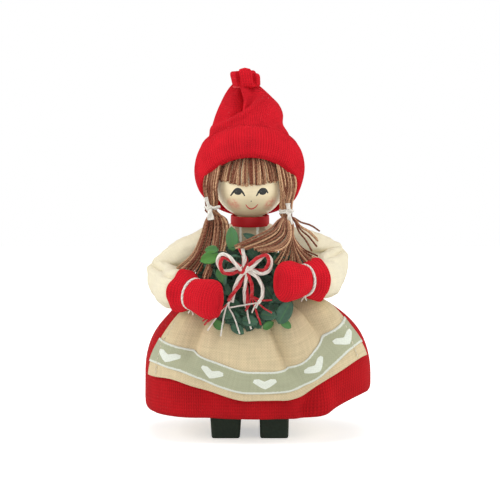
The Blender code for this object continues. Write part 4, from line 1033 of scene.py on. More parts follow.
def turned_by(degrees, middle):
    """Degrees from a middle, between -180 and 180."""
    return (degrees - middle + 180.0) % 360.0 - 180.0


def hem_height(angles):
    """The hem, lifted on the doll's left where the skirt flares."""
    return HEM_Z + HEM_LIFT * smoothstep(-60.0, -24.0, -np.abs(turned_by(np.degrees(angles), HEM_LIFTED_AT)))


def cloth_relief(angles, share):
    """Height of the folds that grow to the hem, the pleats below the waist and the waist's fine gathers."""
    degrees = np.degrees(angles)
    low = np.clip(share, 0.0, 1.0)
    relief = np.zeros(share.shape)
    for middle, half, height in FOLDS:
        relief = relief + height * bump(turned_by(degrees, middle), half) * low**1.3
    for middle, half, height in HEM_FOLDS:
        relief = relief + height * bump(turned_by(degrees, middle), half) * smoothstep(0.74, 0.93, low)
    for start, high, end, deep, half, depth in PLEATS:
        t = (share - high) / (deep - high)
        off = turned_by(degrees, start + (end - start) * np.clip(t, 0.0, 1.15))
        fade = smoothstep(-0.35, 0.2, t) * (1 - smoothstep(0.65, 1.25, t))
        ridges = 0.55 * bump(off - 1.7 * half, 1.3 * half) + 0.35 * bump(off + 1.8 * half, 1.3 * half)
        relief = relief + depth * fade * (ridges - bump(off, half))
    gathers = 0.5 * MM * np.cos(42 * angles + 1.5 * np.sin(5 * angles)) * np.exp(-low / 0.09)
    return relief + gathers * (share > -0.02)


def skirt_point(angles, share):
    """The skirt's outer surface at an angle and a share of the way from waist to hem."""
    angles, share = np.broadcast_arrays(angles, share)
    opened = bell(share, 0.75, 2.4)
    right = SKIRT_NECK + (SKIRT_RIGHT - SKIRT_NECK) * opened
    left = SKIRT_NECK + (SKIRT_LEFT - SKIRT_NECK) * bell(share, 0.90, 2.6)
    depth = SKIRT_NECK + (SKIRT_DEPTH - SKIRT_NECK) * opened
    neck = SKIRT_NECK * compass(angles)
    plan = neck + (oval(right, left, depth, angles) - neck) * smoothstep(0.0, 0.25, share)[..., None]
    reach = np.linalg.norm(plan, axis=-1)
    t = np.clip((share - 1 + HEM_ROUND) / HEM_ROUND, 0.0, 1.0)
    rounding = (1.0 + 2.4 * smoothstep(-0.2, 0.7, -np.sin(angles))) * MM * (1 - np.sqrt(1 - t * t))
    plan = plan * (1 + (cloth_relief(angles, share) - rounding) / reach)[..., None]
    height = WAIST_Z + (hem_height(angles) - WAIST_Z) * share
    return np.concatenate([plan, height[..., None]], axis=-1)


def skirt_offset(angles, share, distance):
    """A surface at a distance outside the skirt's, square to it."""
    step = SLOPE_STEP
    along = skirt_point(angles + step, share) - skirt_point(angles - step, share)
    down = skirt_point(angles, share + step) - skirt_point(angles, share - step)
    return skirt_point(angles, share) + unit(np.cross(down, along)) * np.asarray(distance)[..., None]


def on_skirt(angles, height, distance):
    """A point outside the skirt at an angle and a height."""
    share = (WAIST_Z - height) / (WAIST_Z - hem_height(angles))
    return skirt_offset(angles, share, distance)


def apron_height(angles):
    """The apron's hem, higher at both sides."""
    degrees = np.degrees(angles)
    lift = APRON_RISE[0] * smoothstep(0.0, 58.0, -degrees) + APRON_RISE[1] * smoothstep(22.0, 68.0, degrees)
    return APRON_HEM + lift


def apron_distance(angles, height):
    """How far the apron stands off the skirt, more towards its free hem."""
    free = 1 - smoothstep(0.0, 26 * MM, height - apron_height(angles))
    puff = bump(turned_by(np.degrees(angles), 61.0), 17.0) * bump(height - 73.0 * MM, 10.0 * MM)
    return APRON_EASE + APRON_FLARE * free**2 + APRON_PUFF * puff


def band_low(angles):
    """How far above the apron's hem the ribbon was sewn: nearer in the middle, further at both ends."""
    degrees = np.degrees(angles)
    ends = BAND_ENDS[0] * smoothstep(36.0, 64.0, -degrees) + BAND_ENDS[1] * smoothstep(30.0, 62.0, degrees)
    return BAND_LOW - BAND_SAG * bump(turned_by(degrees, 4.0), 30.0) + ends


class Band:
    """The line along the woven ribbon: distance along it against angle and height."""

    angles = np.radians(np.linspace(*APRON_EDGES, 321))
    heights = apron_height(angles) + band_low(angles) + BAND_WIDTH / 2
    flat = run_lengths(on_skirt(angles, heights, 0.0)[:, :2])
    slope = np.arctan(np.gradient(heights, flat))
    along = run_lengths(np.stack([flat, heights], axis=-1))


def on_band(along, across, lift):
    """A point of the ribbon at a distance along it and across from its middle line, square to its slope."""
    slope = np.interp(along, Band.along, Band.slope)
    flat = np.interp(along, Band.along, Band.flat) - across * np.sin(slope)
    height = np.interp(along, Band.along, Band.heights) + across * np.cos(slope)
    angles = np.interp(flat, Band.flat, Band.angles)
    return on_skirt(angles, height, apron_distance(angles, height) + lift)


def stitches(line, outward, length, gap, thick):
    """Short thread bars along a line, each arched a little off the cloth."""
    along = run_lengths(line)
    starts = np.arange(gap, along[-1] - length, length + gap)
    spots = starts[:, None] + length * np.linspace(0, 1, 5)
    path, off = (read_off(spots, along, rows) for rows in (line, outward))
    return path + unit(off) * (thick * np.sin(math.pi * np.linspace(0.08, 0.92, 5)))[:, None]


def aim_from(item, start, place):
    """Put a lamp or camera at a start and point it at a place."""
    item.location = start
    way = Vector(place) - item.location
    item.rotation_euler = way.to_track_quat("-Z", "Y").to_euler()


class DOLL_OT_stage(bpy.types.Operator):
    """Pale floor, white surroundings, soft studio lights and the camera"""

    bl_idname = "doll.stage"
    bl_label = "Stage"

    def execute(self, context):
        scene = context.scene
        scene.view_settings.view_transform = "Standard"
        corners = [(x * FLOOR_HALF, y * FLOOR_HALF, 0) for x, y in ((-1, -1), (1, -1), (1, 1), (-1, 1))]
        mesh = bpy.data.meshes.new("floor")
        mesh.from_pydata(corners, [], [(0, 1, 2, 3)])
        mesh.materials.append(paper_floor())
        floor = placed("floor", mesh)
        scene.world = white_world()
        aim = MOVED + AIM
        for name, power, spread, place in LAMPS:
            lamp = bpy.data.lights.new(name, "AREA")
            lamp.energy = power
            lamp.shape = "DISK"
            lamp.size = spread
            aim_from(placed(name, lamp), aim + np.array(place), aim)
        camera = bpy.data.cameras.new("camera")
        camera.lens = CAMERA_SENSOR * CAMERA_FAR / FRAME_WIDTH
        scene.camera = placed("camera", camera)
        away = np.array([0.0, -math.cos(CAMERA_TILT), math.sin(CAMERA_TILT)])
        aim_from(scene.camera, aim + CAMERA_FAR * away, aim)
        return {"FINISHED"}


class DOLL_OT_frame(bpy.types.Operator):
    """Painted boots, and materials of the dowels, boards and wires that stay as they are"""

    bl_idname = "doll.frame"
    bl_label = "Boots and wooden frame"

    def execute(self, context):
        colours = context.scene.doll_colours
        grain = (900.0, 60.0, 900.0)
        paint = grained("black_painted_pine", colours.boots, 0.6, grain, 0.22, 0.06 * MM, gloss=0.15).material
        corner = circle(once_round(96))
        corner = np.sign(corner) * np.abs(corner) ** BOOT_CORNER
        rise = BOOT_RISE[:, None, None]
        for name, flare in BOOT_FLARES.items():
            low, high = (np.array(end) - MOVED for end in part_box(name))
            half = (high - low) / 2
            inset = BOOT_INSET[:, None, None] * BOOT_ROUNDING
            inset[[0, -1]] = half[0]
            wide = np.array([1 + flare, 1.0]) ** rise
            plan = corner * np.maximum(half[:2] * wide - inset, 0.0) + (low + half)[:2]
            block = stacked(plan[..., 0], plan[..., 1], low[2] + 2 * half[2] * rise[..., 0])
            add_piece("painted_" + name, grid_patch(block, wrap=True), paint, "doll", [name])
        upright = grained("birch_dowel", colours.wood, 0.6, (900.0, 900.0, 50.0), 0.14, 0.05 * MM).material
        paint_nodes(upright, "leg_left", "leg_right", "spine_dowel")
        board = grained("birch_board", colours.wood, 0.62, (60.0, 900.0, 900.0), 0.16, 0.05 * MM).material
        paint_nodes(board, "hip_disc", "base_board")
        paint_nodes(drawn_wire(), "arm_wire", "wreath_wire")
        paint_nodes(yarn("red_thread", colours.yarn_red, colours.yarn_red, pitch=1.5 * MM), "tuft_tie")
        return {"FINISHED"}


class DOLL_OT_padding(bpy.types.Operator):
    """Wadding ring that fills the skirt"""

    bl_idname = "doll.padding"
    bl_label = "Skirt padding"

    def execute(self, context):
        columns = once_round(120)
        ends = np.linspace(0, 1, 28)[:, None]
        low = PADDING_LOW + 0.9 * (hem_height(columns) - HEM_Z)
        heights = low + (PADDING_TOP - low) * ends
        plan = skirt_point(columns, (WAIST_Z - heights) / (WAIST_Z - hem_height(columns)))[..., :2]
        reach = np.linalg.norm(plan, axis=-1)
        wide, deep = BOARD_HALF
        board = np.linalg.norm(oval(wide, wide, deep, columns), axis=-1)
        limit = np.minimum(reach - PADDING_INSET, board) - 3.0 * MM * (2 * np.abs(ends - 0.5)) ** 6
        outer = np.concatenate([plan * (limit / reach)[..., None], heights[..., None]], axis=-1)
        outer[..., :2] *= 1 + 0.014 * wobble(outer, 11 * MM, 3)[..., None]
        inner = outer[::-3].copy()
        narrow = np.minimum(1.0, (limit[::-3] - 2.0 * MM) / PADDING_BORE)
        inner[..., :2] = PADDING_BORE * compass(columns) * narrow[..., None]
        patch = grid_patch(np.concatenate([outer, inner, outer[:1]]), wrap=True)
        fibre = wadding(linear("#E9E4D6"))
        piece = add_piece("stuffing", patch, fibre, "doll", ["skirt_padding"])
        return {"FINISHED"}


class DOLL_OT_skirt(bpy.types.Operator):
    """Ribbed skirt: gathered neck, pleats, folds and a rolled hem, as one wall of cloth"""

    bl_idname = "doll.skirt"
    bl_label = "Skirt"

    def execute(self, context):
        sizes, colours = context.scene.doll_sizes, context.scene.doll_colours
        columns = once_round(SKIRT_COLUMNS)
        top = -NECK_ABOVE / (WAIST_Z - HEM_Z)
        outer = skirt_point(columns, np.linspace(1.0, top, 92)[:, None])
        inner = skirt_offset(columns, np.linspace(top, 1.0, 30)[:, None], -SKIRT_WALL)
        edge = (inner[-1:] + outer[:1]) / 2
        roll = []
        for angle in np.linspace(0.2, 0.8, 4) * math.pi:
            roll.append(edge - (outer[:1] - edge) * math.cos(angle) - Z * SKIRT_WALL / 2 * math.sin(angle))
        rings = np.concatenate([outer, inner, *roll, outer[:1]])
        uv = uv_grid(np.linspace(0, SKIRT_ROUND, SKIRT_COLUMNS + 1), mean_rise(rings))
        cloth = knit("ribbed_jersey", colours.skirt, sizes.skirt_rib, 1.4 * sizes.skirt_rib, 0.3 * MM, 0.15)
        piece = add_piece("skirt_cloth", grid_patch(rings, uv, True), cloth, "doll", ["skirt"])
        return {"FINISHED"}


class DOLL_OT_apron(bpy.types.Operator):
    """Linen apron over the skirt's front, with hand stitches down both side hems"""

    bl_idname = "doll.apron"
    bl_label = "Apron"

    def execute(self, context):
        sizes, colours = context.scene.doll_sizes, context.scene.doll_colours
        angles = np.radians(np.linspace(*APRON_EDGES, 240))
        hem = apron_height(angles) + 0.25 * MM * wobble(angles[:, None], 0.35, 5)
        heights = hem + (APRON_TOP - hem) * np.linspace(0, 1, 84)[:, None]
        cloth = grid_patch(on_skirt(angles, heights, apron_distance(angles, heights)))
        linen = woven("beige_linen", colours.linen, sizes.linen_thread).material
        piece = add_piece("apron_cloth", cloth, linen, "doll", ["apron"], wall=APRON_WALL)
        thread = yarn("cream_thread", linear("#F2EAD2"), linear("#F2EAD2"), pitch=1.0 * MM)
        bars = []
        for side, edge, band in zip((-1, 1), APRON_EDGES, Band.heights[[0, -1]]):
            angle = np.full(60, math.radians(edge - side * SEAM_INSET))
            height = np.linspace(apron_height(angle[:1])[0] + 1 * MM, SEAM_TOP, 60)
            off = apron_distance(angle, height)
            over_band = height < band + 7 * MM
            line = on_skirt(angle, height, off + 0.63 * MM + 0.62 * MM * over_band)
            outward = line - on_skirt(angle, height, off)
            bars.append(stitches(line, outward, 1.5 * MM, 0.9 * MM, 0.18 * MM))
        seam = tubes(np.concatenate(bars), 0.24 * MM, 6, (0.3, 0.9, 0.2))
        stitch = add_piece("apron_stitches", seam, thread, "doll")
        return {"FINISHED"}


class DOLL_OT_heart_band(bpy.types.Operator):
    """Woven ribbon along the apron's hem, with five raised white hearts"""

    bl_idname = "doll.heart_band"
    bl_label = "Heart band"

    def execute(self, context):
        sizes, colours = context.scene.doll_sizes, context.scene.doll_colours
        along = np.linspace(0, Band.along[-1], 260)
        across = np.linspace(-BAND_WIDTH / 2, BAND_WIDTH / 2, 22)
        surface = on_band(*np.meshgrid(along, across), BAND_LIFT)
        cloth = grid_patch(surface, uv_grid(along, across + BAND_WIDTH / 2))
        ribbon = edged_ribbon(colours.ribbon, colours.hearts, BAND_WIDTH)
        band = add_piece("woven_band", cloth, ribbon, "doll", ["heart_band"], wall=0.4 * MM)
        outline = respaced(np.array([*HEART, HEART[0]]), 61)[:-1] * sizes.heart_width / 2
        fill = np.linspace(1, 0, 7)[:, None]
        raised = HEART_LIFT + 0.22 * MM * (1 - fill**6)
        hearts = []
        for spot in HEART_SPOTS:
            x = spot * Band.along[-1] + outline[:, 0] * fill
            y = outline[:, 1] * fill
            uv = np.stack([x, y], axis=-1)
            uv = np.concatenate([uv, uv[:, :1]], axis=1)
            hearts.append(grid_patch(on_band(x, y, raised), uv, True))
        floss = woven("white_floss", colours.hearts, 0.8 * MM, 0.08).material
        patch = add_piece("white_hearts", joined(hearts), floss, "doll")
        return {"FINISHED"}


# Torso and what it wears


def round_torso(angles, height, lift):
    """A point over the torso at an angle, a height and a distance off it."""
    sides = smoothstep(0.80, 0.96, np.abs(np.sin(angles))) * smoothstep(104 * MM, 110 * MM, height)
    reach = np.interp(height - SHOULDER_RISE * sides, TORSO[:, 0], TORSO[:, 1]) + lift
    return about_axis(angles, reach, height)


def inflated(rings, held, most):
    """Rings swollen by Cloth under pressure: held rows stay, and no point moves past a limit."""
    columns = rings.shape[1]
    patch = grid_patch(rings, wrap=True)
    mesh = bpy.data.meshes.new("swelling")
    mesh.from_pydata((patch.points * SWELL_SCALE).tolist(), [], patch.quads.tolist())
    piece = placed("swelling", mesh)
    group = piece.vertex_groups.new(name="held")
    group.add([int(row) * columns + column for row in held for column in range(columns)], 1.0, "REPLACE")
    cloth = piece.modifiers.new("Cloth", "CLOTH")
    cloth.collision_settings.use_collision = False
    settings = cloth.settings
    settings.quality = 5
    settings.vertex_group_mass = "held"
    settings.effector_weights.gravity = 0.0
    settings.use_pressure = True
    settings.uniform_pressure_force = SWELL_PRESSURE
    settings.shrink_min = settings.shrink_max = SWELL_SLACK
    scene = bpy.context.scene
    for step in range(1, SWELL_FRAMES + 1):
        scene.frame_set(step)
    solved = np.empty(rings.size, np.float32)
    piece.evaluated_get(bpy.context.evaluated_depsgraph_get()).data.vertices.foreach_get("co", solved)
    moved = solved.reshape(rings.shape) / SWELL_SCALE - rings
    far = np.linalg.norm(moved, axis=-1, keepdims=True)
    free = np.abs(np.arange(len(rings))[:, None] - np.asarray(held)).min(axis=1)
    most = most * smoothstep(0.0, 12.0, free)[:, None, None]
    scene.frame_set(1)
    bpy.data.objects.remove(piece)
    bpy.data.meshes.remove(mesh)
    return rings + moved * np.minimum(1.0, most / np.maximum(far, 1e-9))


class DOLL_OT_torso(bpy.types.Operator):
    """Stuffed blouse body with soft dents"""

    bl_idname = "doll.torso"
    bl_label = "Torso"

    def execute(self, context):
        colours = context.scene.doll_colours
        columns = once_round(96)
        heights = np.linspace(TORSO[0, 0], TORSO[-1, 0], 80)
        body = round_torso(columns, heights[:, None], 0.0)
        body[..., :2] *= 1 - 0.012 * (1 + wobble(body, 9 * MM, 11))[..., None]
        low, high = CHEST_FREE
        swollen = inflated(body, np.flatnonzero((heights < low) | (heights > high)), CHEST_SWELL)
        body = body + (swollen - body) * smoothstep(0.0, 0.5, -np.cos(columns))[:, None]
        patch = grid_patch(with_poles(body, Z * heights[0], Z * heights[-1]), wrap=True)
        cotton = woven("crinkled_cotton", colours.blouse, 0.7 * MM, 0.06, 0.22 * MM).material
        piece = add_piece("blouse_body", patch, cotton, "doll", ["torso"])
        return {"FINISHED"}


class DOLL_OT_bodice(bpy.types.Operator):
    """Linen waistband, and the striped chest panel up to the neck"""

    bl_idname = "doll.bodice"
    bl_label = "Waistband and bodice"

    def execute(self, context):
        colours = context.scene.doll_colours
        columns = once_round(140)
        profile = curve_through(WAISTBAND, 4) * MM
        reach = profile[:, :1] + 0.2 * MM * wobble(circle(columns), 0.5, 8)
        band = grid_patch(about_axis(columns, reach, profile[:, 1:]), wrap=True)
        linen = bpy.data.materials["beige_linen"]
        add_piece("linen_waistband", band, linen, "doll", ["waistband"])
        share = np.linspace(0, 1, 40)[:, None]
        angles = np.radians(np.linspace(-BODICE_HALF, BODICE_HALF, 70)) * (1 - 0.12 * share)
        heights = (BODICE_LOW + BODICE_RISE * share) * MM + 0 * angles
        crinkle = wobble(np.stack([angles, share + 0 * angles], axis=-1), 0.5, 4)
        panel = round_torso(angles, heights, 0.35 * MM + 0.12 * MM * crinkle)
        cloth = grid_patch(panel, np.stack([panel[..., 0] + 0.5 * MM, heights], axis=-1))
        stripes = striped_linen(colours.bodice, colours.hearts, colours.linen)
        piece = add_piece("striped_bodice", cloth, stripes, "doll", ["bib"], wall=0.6 * MM)
        return {"FINISHED"}


class DOLL_OT_collar(bpy.types.Operator):
    """Satin ribbon round the neck, with its end lapped at the back"""

    bl_idname = "doll.collar"
    bl_label = "Collar ribbon"

    def execute(self, context):
        colours = context.scene.doll_colours
        columns = once_round(160)
        low, high = (corner[2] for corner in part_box("collar_ribbon"))
        profile = curve_through(COLLAR, 6)
        lap = 0.35 * MM * smoothstep(8.0, 12.0, 40 - np.abs(turned_by(np.degrees(columns), 172.0)))
        reach = profile[:, :1] * MM + lap * (profile[:, :1] > 9.6)
        rings = about_axis(columns, reach, low + (high - COLLAR_DROP - low) * profile[:, 1:])
        patch = grid_patch(rings, wrap=True)
        add_piece("satin_collar", patch, satin(colours.collar), "doll", ["collar_ribbon"])
        return {"FINISHED"}


# Arms


def arm_route(arm):
    """Stations of place and radius along a sleeve, from the torso to inside the mitten's cuff."""
    elbow, forearm, wrist = (np.array(place) * MM for place in (arm.elbow, arm.forearm, arm.wrist))
    way = unit(np.array(arm.hand))
    start = SHOULDER * (arm.side, 1, 1)
    out = X * arm.side * 8.5 * MM
    upper = 0.5 * (start + out + elbow) + Z * 1.2 * MM
    places = [start + 0.3 * out, upper, elbow, forearm]
    places += [wrist - way * CUFF_LENGTH * far for far in (2.3, 1.35, 0.55)]
    route = curve_through(np.hstack([places, SLEEVE_RADII[:, None]]), 14)
    return np.vstack([[*start, 7.4 * MM], [*(start + 0.1 * out), 8.2 * MM], route])


def elbow_dent(name, skin, way):
    """Height of an elbow's crease in millimetres: a sharp groove between two swellings, in front only."""
    line_x, line_z = ELBOW_CREASES[name]
    out = skin[..., 0] * ARMS[name].side / MM
    below = skin[..., 2] / MM - np.interp(out, line_x, line_z)
    front = smoothstep(-0.35, 0.35, -way[..., 1]) * smoothstep(line_x[0] - 4, line_x[0] + 2, out)
    swellings = 0.9 * bump(below - 2.8, 2.2) + 0.8 * bump(below + 2.8, 2.2)
    return front * (swellings - 3.0 * np.exp(-np.abs(below) / 0.8))


class DOLL_OT_sleeves(bpy.types.Operator):
    """Stuffed sleeves with a deep crease at each elbow"""

    bl_idname = "doll.sleeves"
    bl_label = "Sleeves"

    def execute(self, context):
        cotton = bpy.data.materials["crinkled_cotton"]
        angles = once_round(SLEEVE_COLUMNS)[:, None]
        for name, arm in ARMS.items():
            route = arm_route(arm)
            path, rows = route[:, :3], np.arange(len(route))
            across, out = path_axes(path, Z)
            far = run_lengths(path) / MM
            taller = SLEEVE_TALL[name] * bump(far - far[FOREARM_ROW], 11.0)
            way = np.cos(angles) * across[:, None] + np.sin(angles) * out[:, None]
            shape = way + np.sin(angles) * (taller[:, None] * out)[:, None]
            skin = path[:, None] + route[:, 3, None, None] * shape
            skin = inflated(skin, [*rows[:4], *rows[-20:]], SLEEVE_SWELL)
            ends = smoothstep(0.0, 6.0, rows) * smoothstep(0.0, 12.0, rows[::-1])
            lumps = 0.30 * wobble(skin, 13 * MM, 21 + arm.side) + 0.14 * wobble(skin, 4.5 * MM, 31 + arm.side)
            skin = skin + way * ((elbow_dent(name, skin, way) + lumps) * ends[:, None] * MM)[..., None]
            patch = grid_patch(with_poles(skin, path[0], path[-1]), wrap=True)
            nodes = ["sleeve_" + name]
            piece = add_piece("stuffed_sleeve_" + name, patch, cotton, "arms", nodes)
        return {"FINISHED"}


def hand_axes(arm):
    """A wrist's place, and unit vectors along the hand, up it and through its depth."""
    along = unit(np.array(arm.hand))
    depth = unit(np.cross(along, Z))
    return np.array(arm.wrist) * MM, along, np.cross(depth, along), depth


def mitten_profile():
    """Along a mitten, half height and half depth: inside of the cuff, its lip and outside, wrist and hand."""
    long, high, deep = HAND
    cuff, lip = CUFF_LENGTH, CUFF_MOUTH + CUFF_WALL
    stations = (
        (-0.5 * cuff, 0.0, 0.0),
        (-0.5 * cuff, CUFF_FLOOR, CUFF_FLOOR),
        (-1.45 * cuff, CUFF_MOUTH, CUFF_MOUTH),
        (-1.55 * cuff, lip - 0.4 * CUFF_WALL, lip - 0.4 * CUFF_WALL),
        (-1.42 * cuff, lip, lip),
        (-0.85 * cuff, lip - 0.9 * MM, lip - 1.2 * MM),
        (-0.30 * cuff, CUFF_FLOOR + 0.9 * MM, CUFF_FLOOR + 0.6 * MM),
        (0.0, WRIST - 0.2 * MM, WRIST - 0.2 * MM),
        (0.09 * long, WRIST + 0.9 * MM, WRIST + 0.3 * MM),
        (0.30 * long, 0.87 * high, deep + 0.3 * MM),
        (0.54 * long, 0.98 * high, deep + 0.5 * MM),
        (0.74 * long, 1.0 * high, 0.96 * deep),
        (0.88 * long, 0.88 * high, 0.78 * deep),
        (0.96 * long, 0.66 * high, 0.52 * deep),
        (1.01 * long, 0.34 * high, 0.20 * deep),
        (1.02 * long, 0.0, 0.0),
    )
    profile = curve_through(stations, 6)
    profile[:, 1:] = np.maximum(profile[:, 1:], 0.0)
    return profile


class DOLL_OT_mittens(bpy.types.Operator):
    """Knitted mittens: flared cuff, tied wrist and full round hand"""

    bl_idname = "doll.mittens"
    bl_label = "Mittens"

    def execute(self, context):
        sizes, colours = context.scene.doll_sizes, context.scene.doll_colours
        wool = knit("mitten_knit", colours.cap, 1.2 * sizes.cap_stitch, sizes.cap_stitch, 0.4 * MM)
        profile = mitten_profile()
        far, high, deep = profile.T[..., None]
        uv = uv_grid(run_lengths(profile), np.linspace(0, TAU * HAND[1], 121)).transpose(1, 0, 2)
        angles = once_round(120)
        outside = smoothstep(-0.9 * CUFF_LENGTH, -1.5 * CUFF_LENGTH, far)
        outside[: CUFF_INSIDE_ROWS + 1] = 0.0
        for name, arm in ARMS.items():
            wrist, along, up, depth = hand_axes(arm)
            ring = (np.cos(angles) * high)[..., None] * up + (np.sin(angles) * deep)[..., None] * depth
            rings = wrist + far[..., None] * along + ring
            swell = 0.35 * wobble(rings, 9 * MM, 41 + arm.side) * MM
            flare = 0.5 * MM * np.cos(5 * angles + arm.side) * outside
            reach = np.linalg.norm(ring, axis=-1)
            out = (swell + flare) * smoothstep(0.0, 4 * MM, reach) / np.maximum(reach, 1e-6)
            patch = grid_patch(rings + ring * out[..., None], uv, True)
            piece = add_piece("knit_mitten_" + name, patch, wool, "arms", ["mitten_" + name])
        return {"FINISHED"}


class DOLL_OT_wrist_ties(bpy.types.Operator):
    """White yarn drawn tight round each wrist and knotted below"""

    bl_idname = "doll.wrist_ties"
    bl_label = "Wrist ties"

    def execute(self, context):
        sizes, colours = context.scene.doll_sizes, context.scene.doll_colours
        white = yarn("white_yarn", shade(colours.yarn_white, 0.9)[:3], colours.yarn_white, pitch=2.4 * MM)
        thick = sizes.wrist_yarn
        twist = {"sides": 8, "plies": 2, "pitch": 3.4 * MM}
        round_wrist = np.linspace(-math.pi, math.pi, 90)[:, None]
        round_knot = np.linspace(0, TAU * 0.95, 14)[:, None]
        for name, arm in ARMS.items():
            wrist, along, up, depth = hand_axes(arm)
            path = wrist + (WRIST + 0.25 * thick) * (np.cos(round_wrist) * up + np.sin(round_wrist) * depth)
            low = wrist - up * (WRIST + 0.6 * thick)
            knot = low + thick * 0.4 * (np.cos(round_knot) * along + np.sin(round_knot) * depth)
            tails = []
            for way in (1.2 * MM, -1.0 * MM):
                bend = low - up * 1.2 * MM + along * way
                tails.append(curve_through([low, bend, low - up * 2.6 * MM + along * 1.8 * way], 4))
            skins = [tubes(path[None], thick / 2, 10, along + 1e-3)]
            skins.append(tubes(knot[None], 0.42 * thick, facing=up + 1e-3, **twist))
            skins.append(tubes(tails, 0.28 * thick, facing=depth, **twist))
            nodes = ["wrist_tie_" + name]
            add_piece("wrist_yarn_" + name, joined(skins, 0.6), white, "arms", nodes)
        return {"FINISHED"}


# Wreath and bow

Leaves = collections.namedtuple("Leaves", "base way face long wide tint")


def in_wreath(points):
    """Points of the wreath's own axes, x across, y back and z up, in the doll's."""
    c, s = math.cos(WREATH_LEAN), math.sin(WREATH_LEAN)
    turn = np.array([[1, 0, 0], [0, c, s], [0, -s, c]])
    return np.asarray(points) @ turn.T + WREATH


def spokes(angles):
    """Unit vectors out from the wreath's middle, and onward round it."""
    return stacked(np.cos(angles), 0.0, np.sin(angles)), stacked(-np.sin(angles), 0.0, np.cos(angles))


def ring_leaves(rng, long, wide):
    """Dense leaves all round the wire, dark blue-green and darkened further by low tints as painted shade,
    which turn in, out and forwards by turns.
    """
    count = RING_LEAVES
    order = np.arange(count)
    out, onward = spokes(once_round(count) + rng.uniform(-0.08, 0.08, count))
    reach = np.choose(order % 3, [-1.0, 0.9, 0.35])[:, None] * rng.uniform(0.6, 1.1, (count, 1))
    forward = np.choose(order % 4, [0.1, 0.5, -0.15, 0.3])[:, None] + rng.uniform(-0.15, 0.15, (count, 1))
    way = out * reach + onward * rng.choice([-0.7, 0.6, 0.9], (count, 1)) - Y * forward
    ring = out * (WREATH_RING + rng.uniform(-2.0, 1.2, (count, 1)) * MM)
    return Leaves(
        ring - Y * rng.uniform(-1.0, 2.4, (count, 1)) * MM,
        way,
        -Y + 0.5 * rng.normal(size=(count, 3)),
        long * rng.uniform(0.72, 0.98, count),
        wide * rng.uniform(0.62, 0.92, count),
        np.clip(rng.normal(0.12, 0.14, count), -0.1, 0.5),
    )


def inner_shaded_leaves(rng, long, wide):
    """Longer leaves that reach into the ring, with the lowest tints, whose darkest green is painted shade
    inside the ring.
    """
    count = INNER_LEAVES
    out, onward = spokes(once_round(count))
    swing = onward * rng.uniform(-0.5, 0.5, (count, 1))
    return Leaves(
        out * rng.uniform(12.5, 15.5, (count, 1)) * MM + Y * rng.uniform(-0.5, 2.5, (count, 1)) * MM,
        swing - out + Y * rng.uniform(-0.1, 0.2, (count, 1)),
        -Y + 0.4 * rng.normal(size=(count, 3)),
        long * rng.uniform(1.0, 1.3, count),
        wide * rng.uniform(0.8, 1.1, count),
        np.clip(rng.normal(-0.02, 0.08, count), -0.1, 0.2),
    )


def front_leaves():
    """The single leaves that are seen in front."""
    x, z, tip_x, tip_z, wide, forward, tint = np.array(FRONT_LEAVES).T
    run = stacked(tip_x - x, 0.0, tip_z - z) * MM
    far = np.linalg.norm(run, axis=-1)
    way = run / far[:, None] - Y * forward[:, None]
    face = np.broadcast_to(-Y + 0.15 * Z, run.shape)
    return Leaves(stacked(x, -3.4, z) * MM, way, face, 1.03 * far, wide * MM, tint)


def blades(leaves):
    """Cupped oval leaves: width swells and closes along the length, edges lift and the tip bends back."""
    u = np.linspace(0, 1, 9)[:, None]
    w = np.linspace(-1, 1, 7)
    swell = np.sin(math.pi * u**0.92) ** 0.56
    uv = uv_grid(w, u[:, 0])
    skins = []
    for base, way, face, long, wide, tint in zip(*leaves):
        ahead = unit(way)
        across = unit(np.cross(ahead, unit(face)))
        along = (long * u + 0 * w)[..., None] * ahead
        side = (0.5 * wide * swell * w)[..., None] * across
        lift = (0.16 * wide * swell * w**2 - 0.14 * long * u**2)[..., None] * np.cross(across, ahead)
        skins.append(grid_patch(base + along + side + lift, uv, False, tint))
    return joined(skins)


class DOLL_OT_wreath(bpy.types.Operator):
    """Leaf sprigs round the wire: twisted stems, dense dark leaves darkened further as painted shade, and a
    few fresh ones in front
    """

    bl_idname = "doll.wreath"
    bl_label = "Wreath"

    def execute(self, context):
        sizes, colours = context.scene.doll_sizes, context.scene.doll_colours
        rng = np.random.default_rng(12)
        usual = (sizes.leaf_length, sizes.leaf_width)
        grown = (ring_leaves(rng, *usual), inner_shaded_leaves(rng, *usual), front_leaves())
        base, way, face, *shapes = (np.concatenate(part) for part in zip(*grown))
        span = 360.0 / SPRIGS
        sector = (np.degrees(np.arctan2(base[:, 2], base[:, 0])) - HITCH_ANGLE) % 360.0 // span
        leaves = (in_wreath(base), in_wreath(way) - WREATH, in_wreath(face) - WREATH, *shapes)
        green = foliage(colours.leaf_dark, colours.leaf_light)
        for i in range(SPRIGS):
            skins = [blades(part[sector == i] for part in leaves)]
            arc = np.radians(HITCH_ANGLE + span * i + np.linspace(2, 58, 30))
            for phase in (0.0, math.pi):
                coil = 9 * arc + phase
                ring = WREATH_RING + STEM_COIL * np.cos(coil)
                stem = stacked(ring * np.cos(arc), -1.6 * MM + STEM_COIL * np.sin(coil), ring * np.sin(arc))
                skins.append(tubes(in_wreath(stem)[None], 0.75 * MM, 6, (0, 1, 0), tint=0.3))
            nodes = [f"sprig_{i + 1}"]
            add_piece(f"foliage_{i + 1}", joined(skins), green, "arms", nodes, wall=0.3 * MM)
        return {"FINISHED"}


def twisted_pair(path, gap, turns, start=0.0, facing=(0.0, -1.0, 0.0)):
    """Two yarns that wind round a middle path, half a turn apart."""
    across, out = path_axes(path, facing)
    along = run_lengths(path)
    angle = (start + TAU * turns * along / along[-1])[:, None]
    off = gap / 2 * (np.cos(angle) * across + np.sin(angle) * out)
    return np.stack([path + off, path - off])


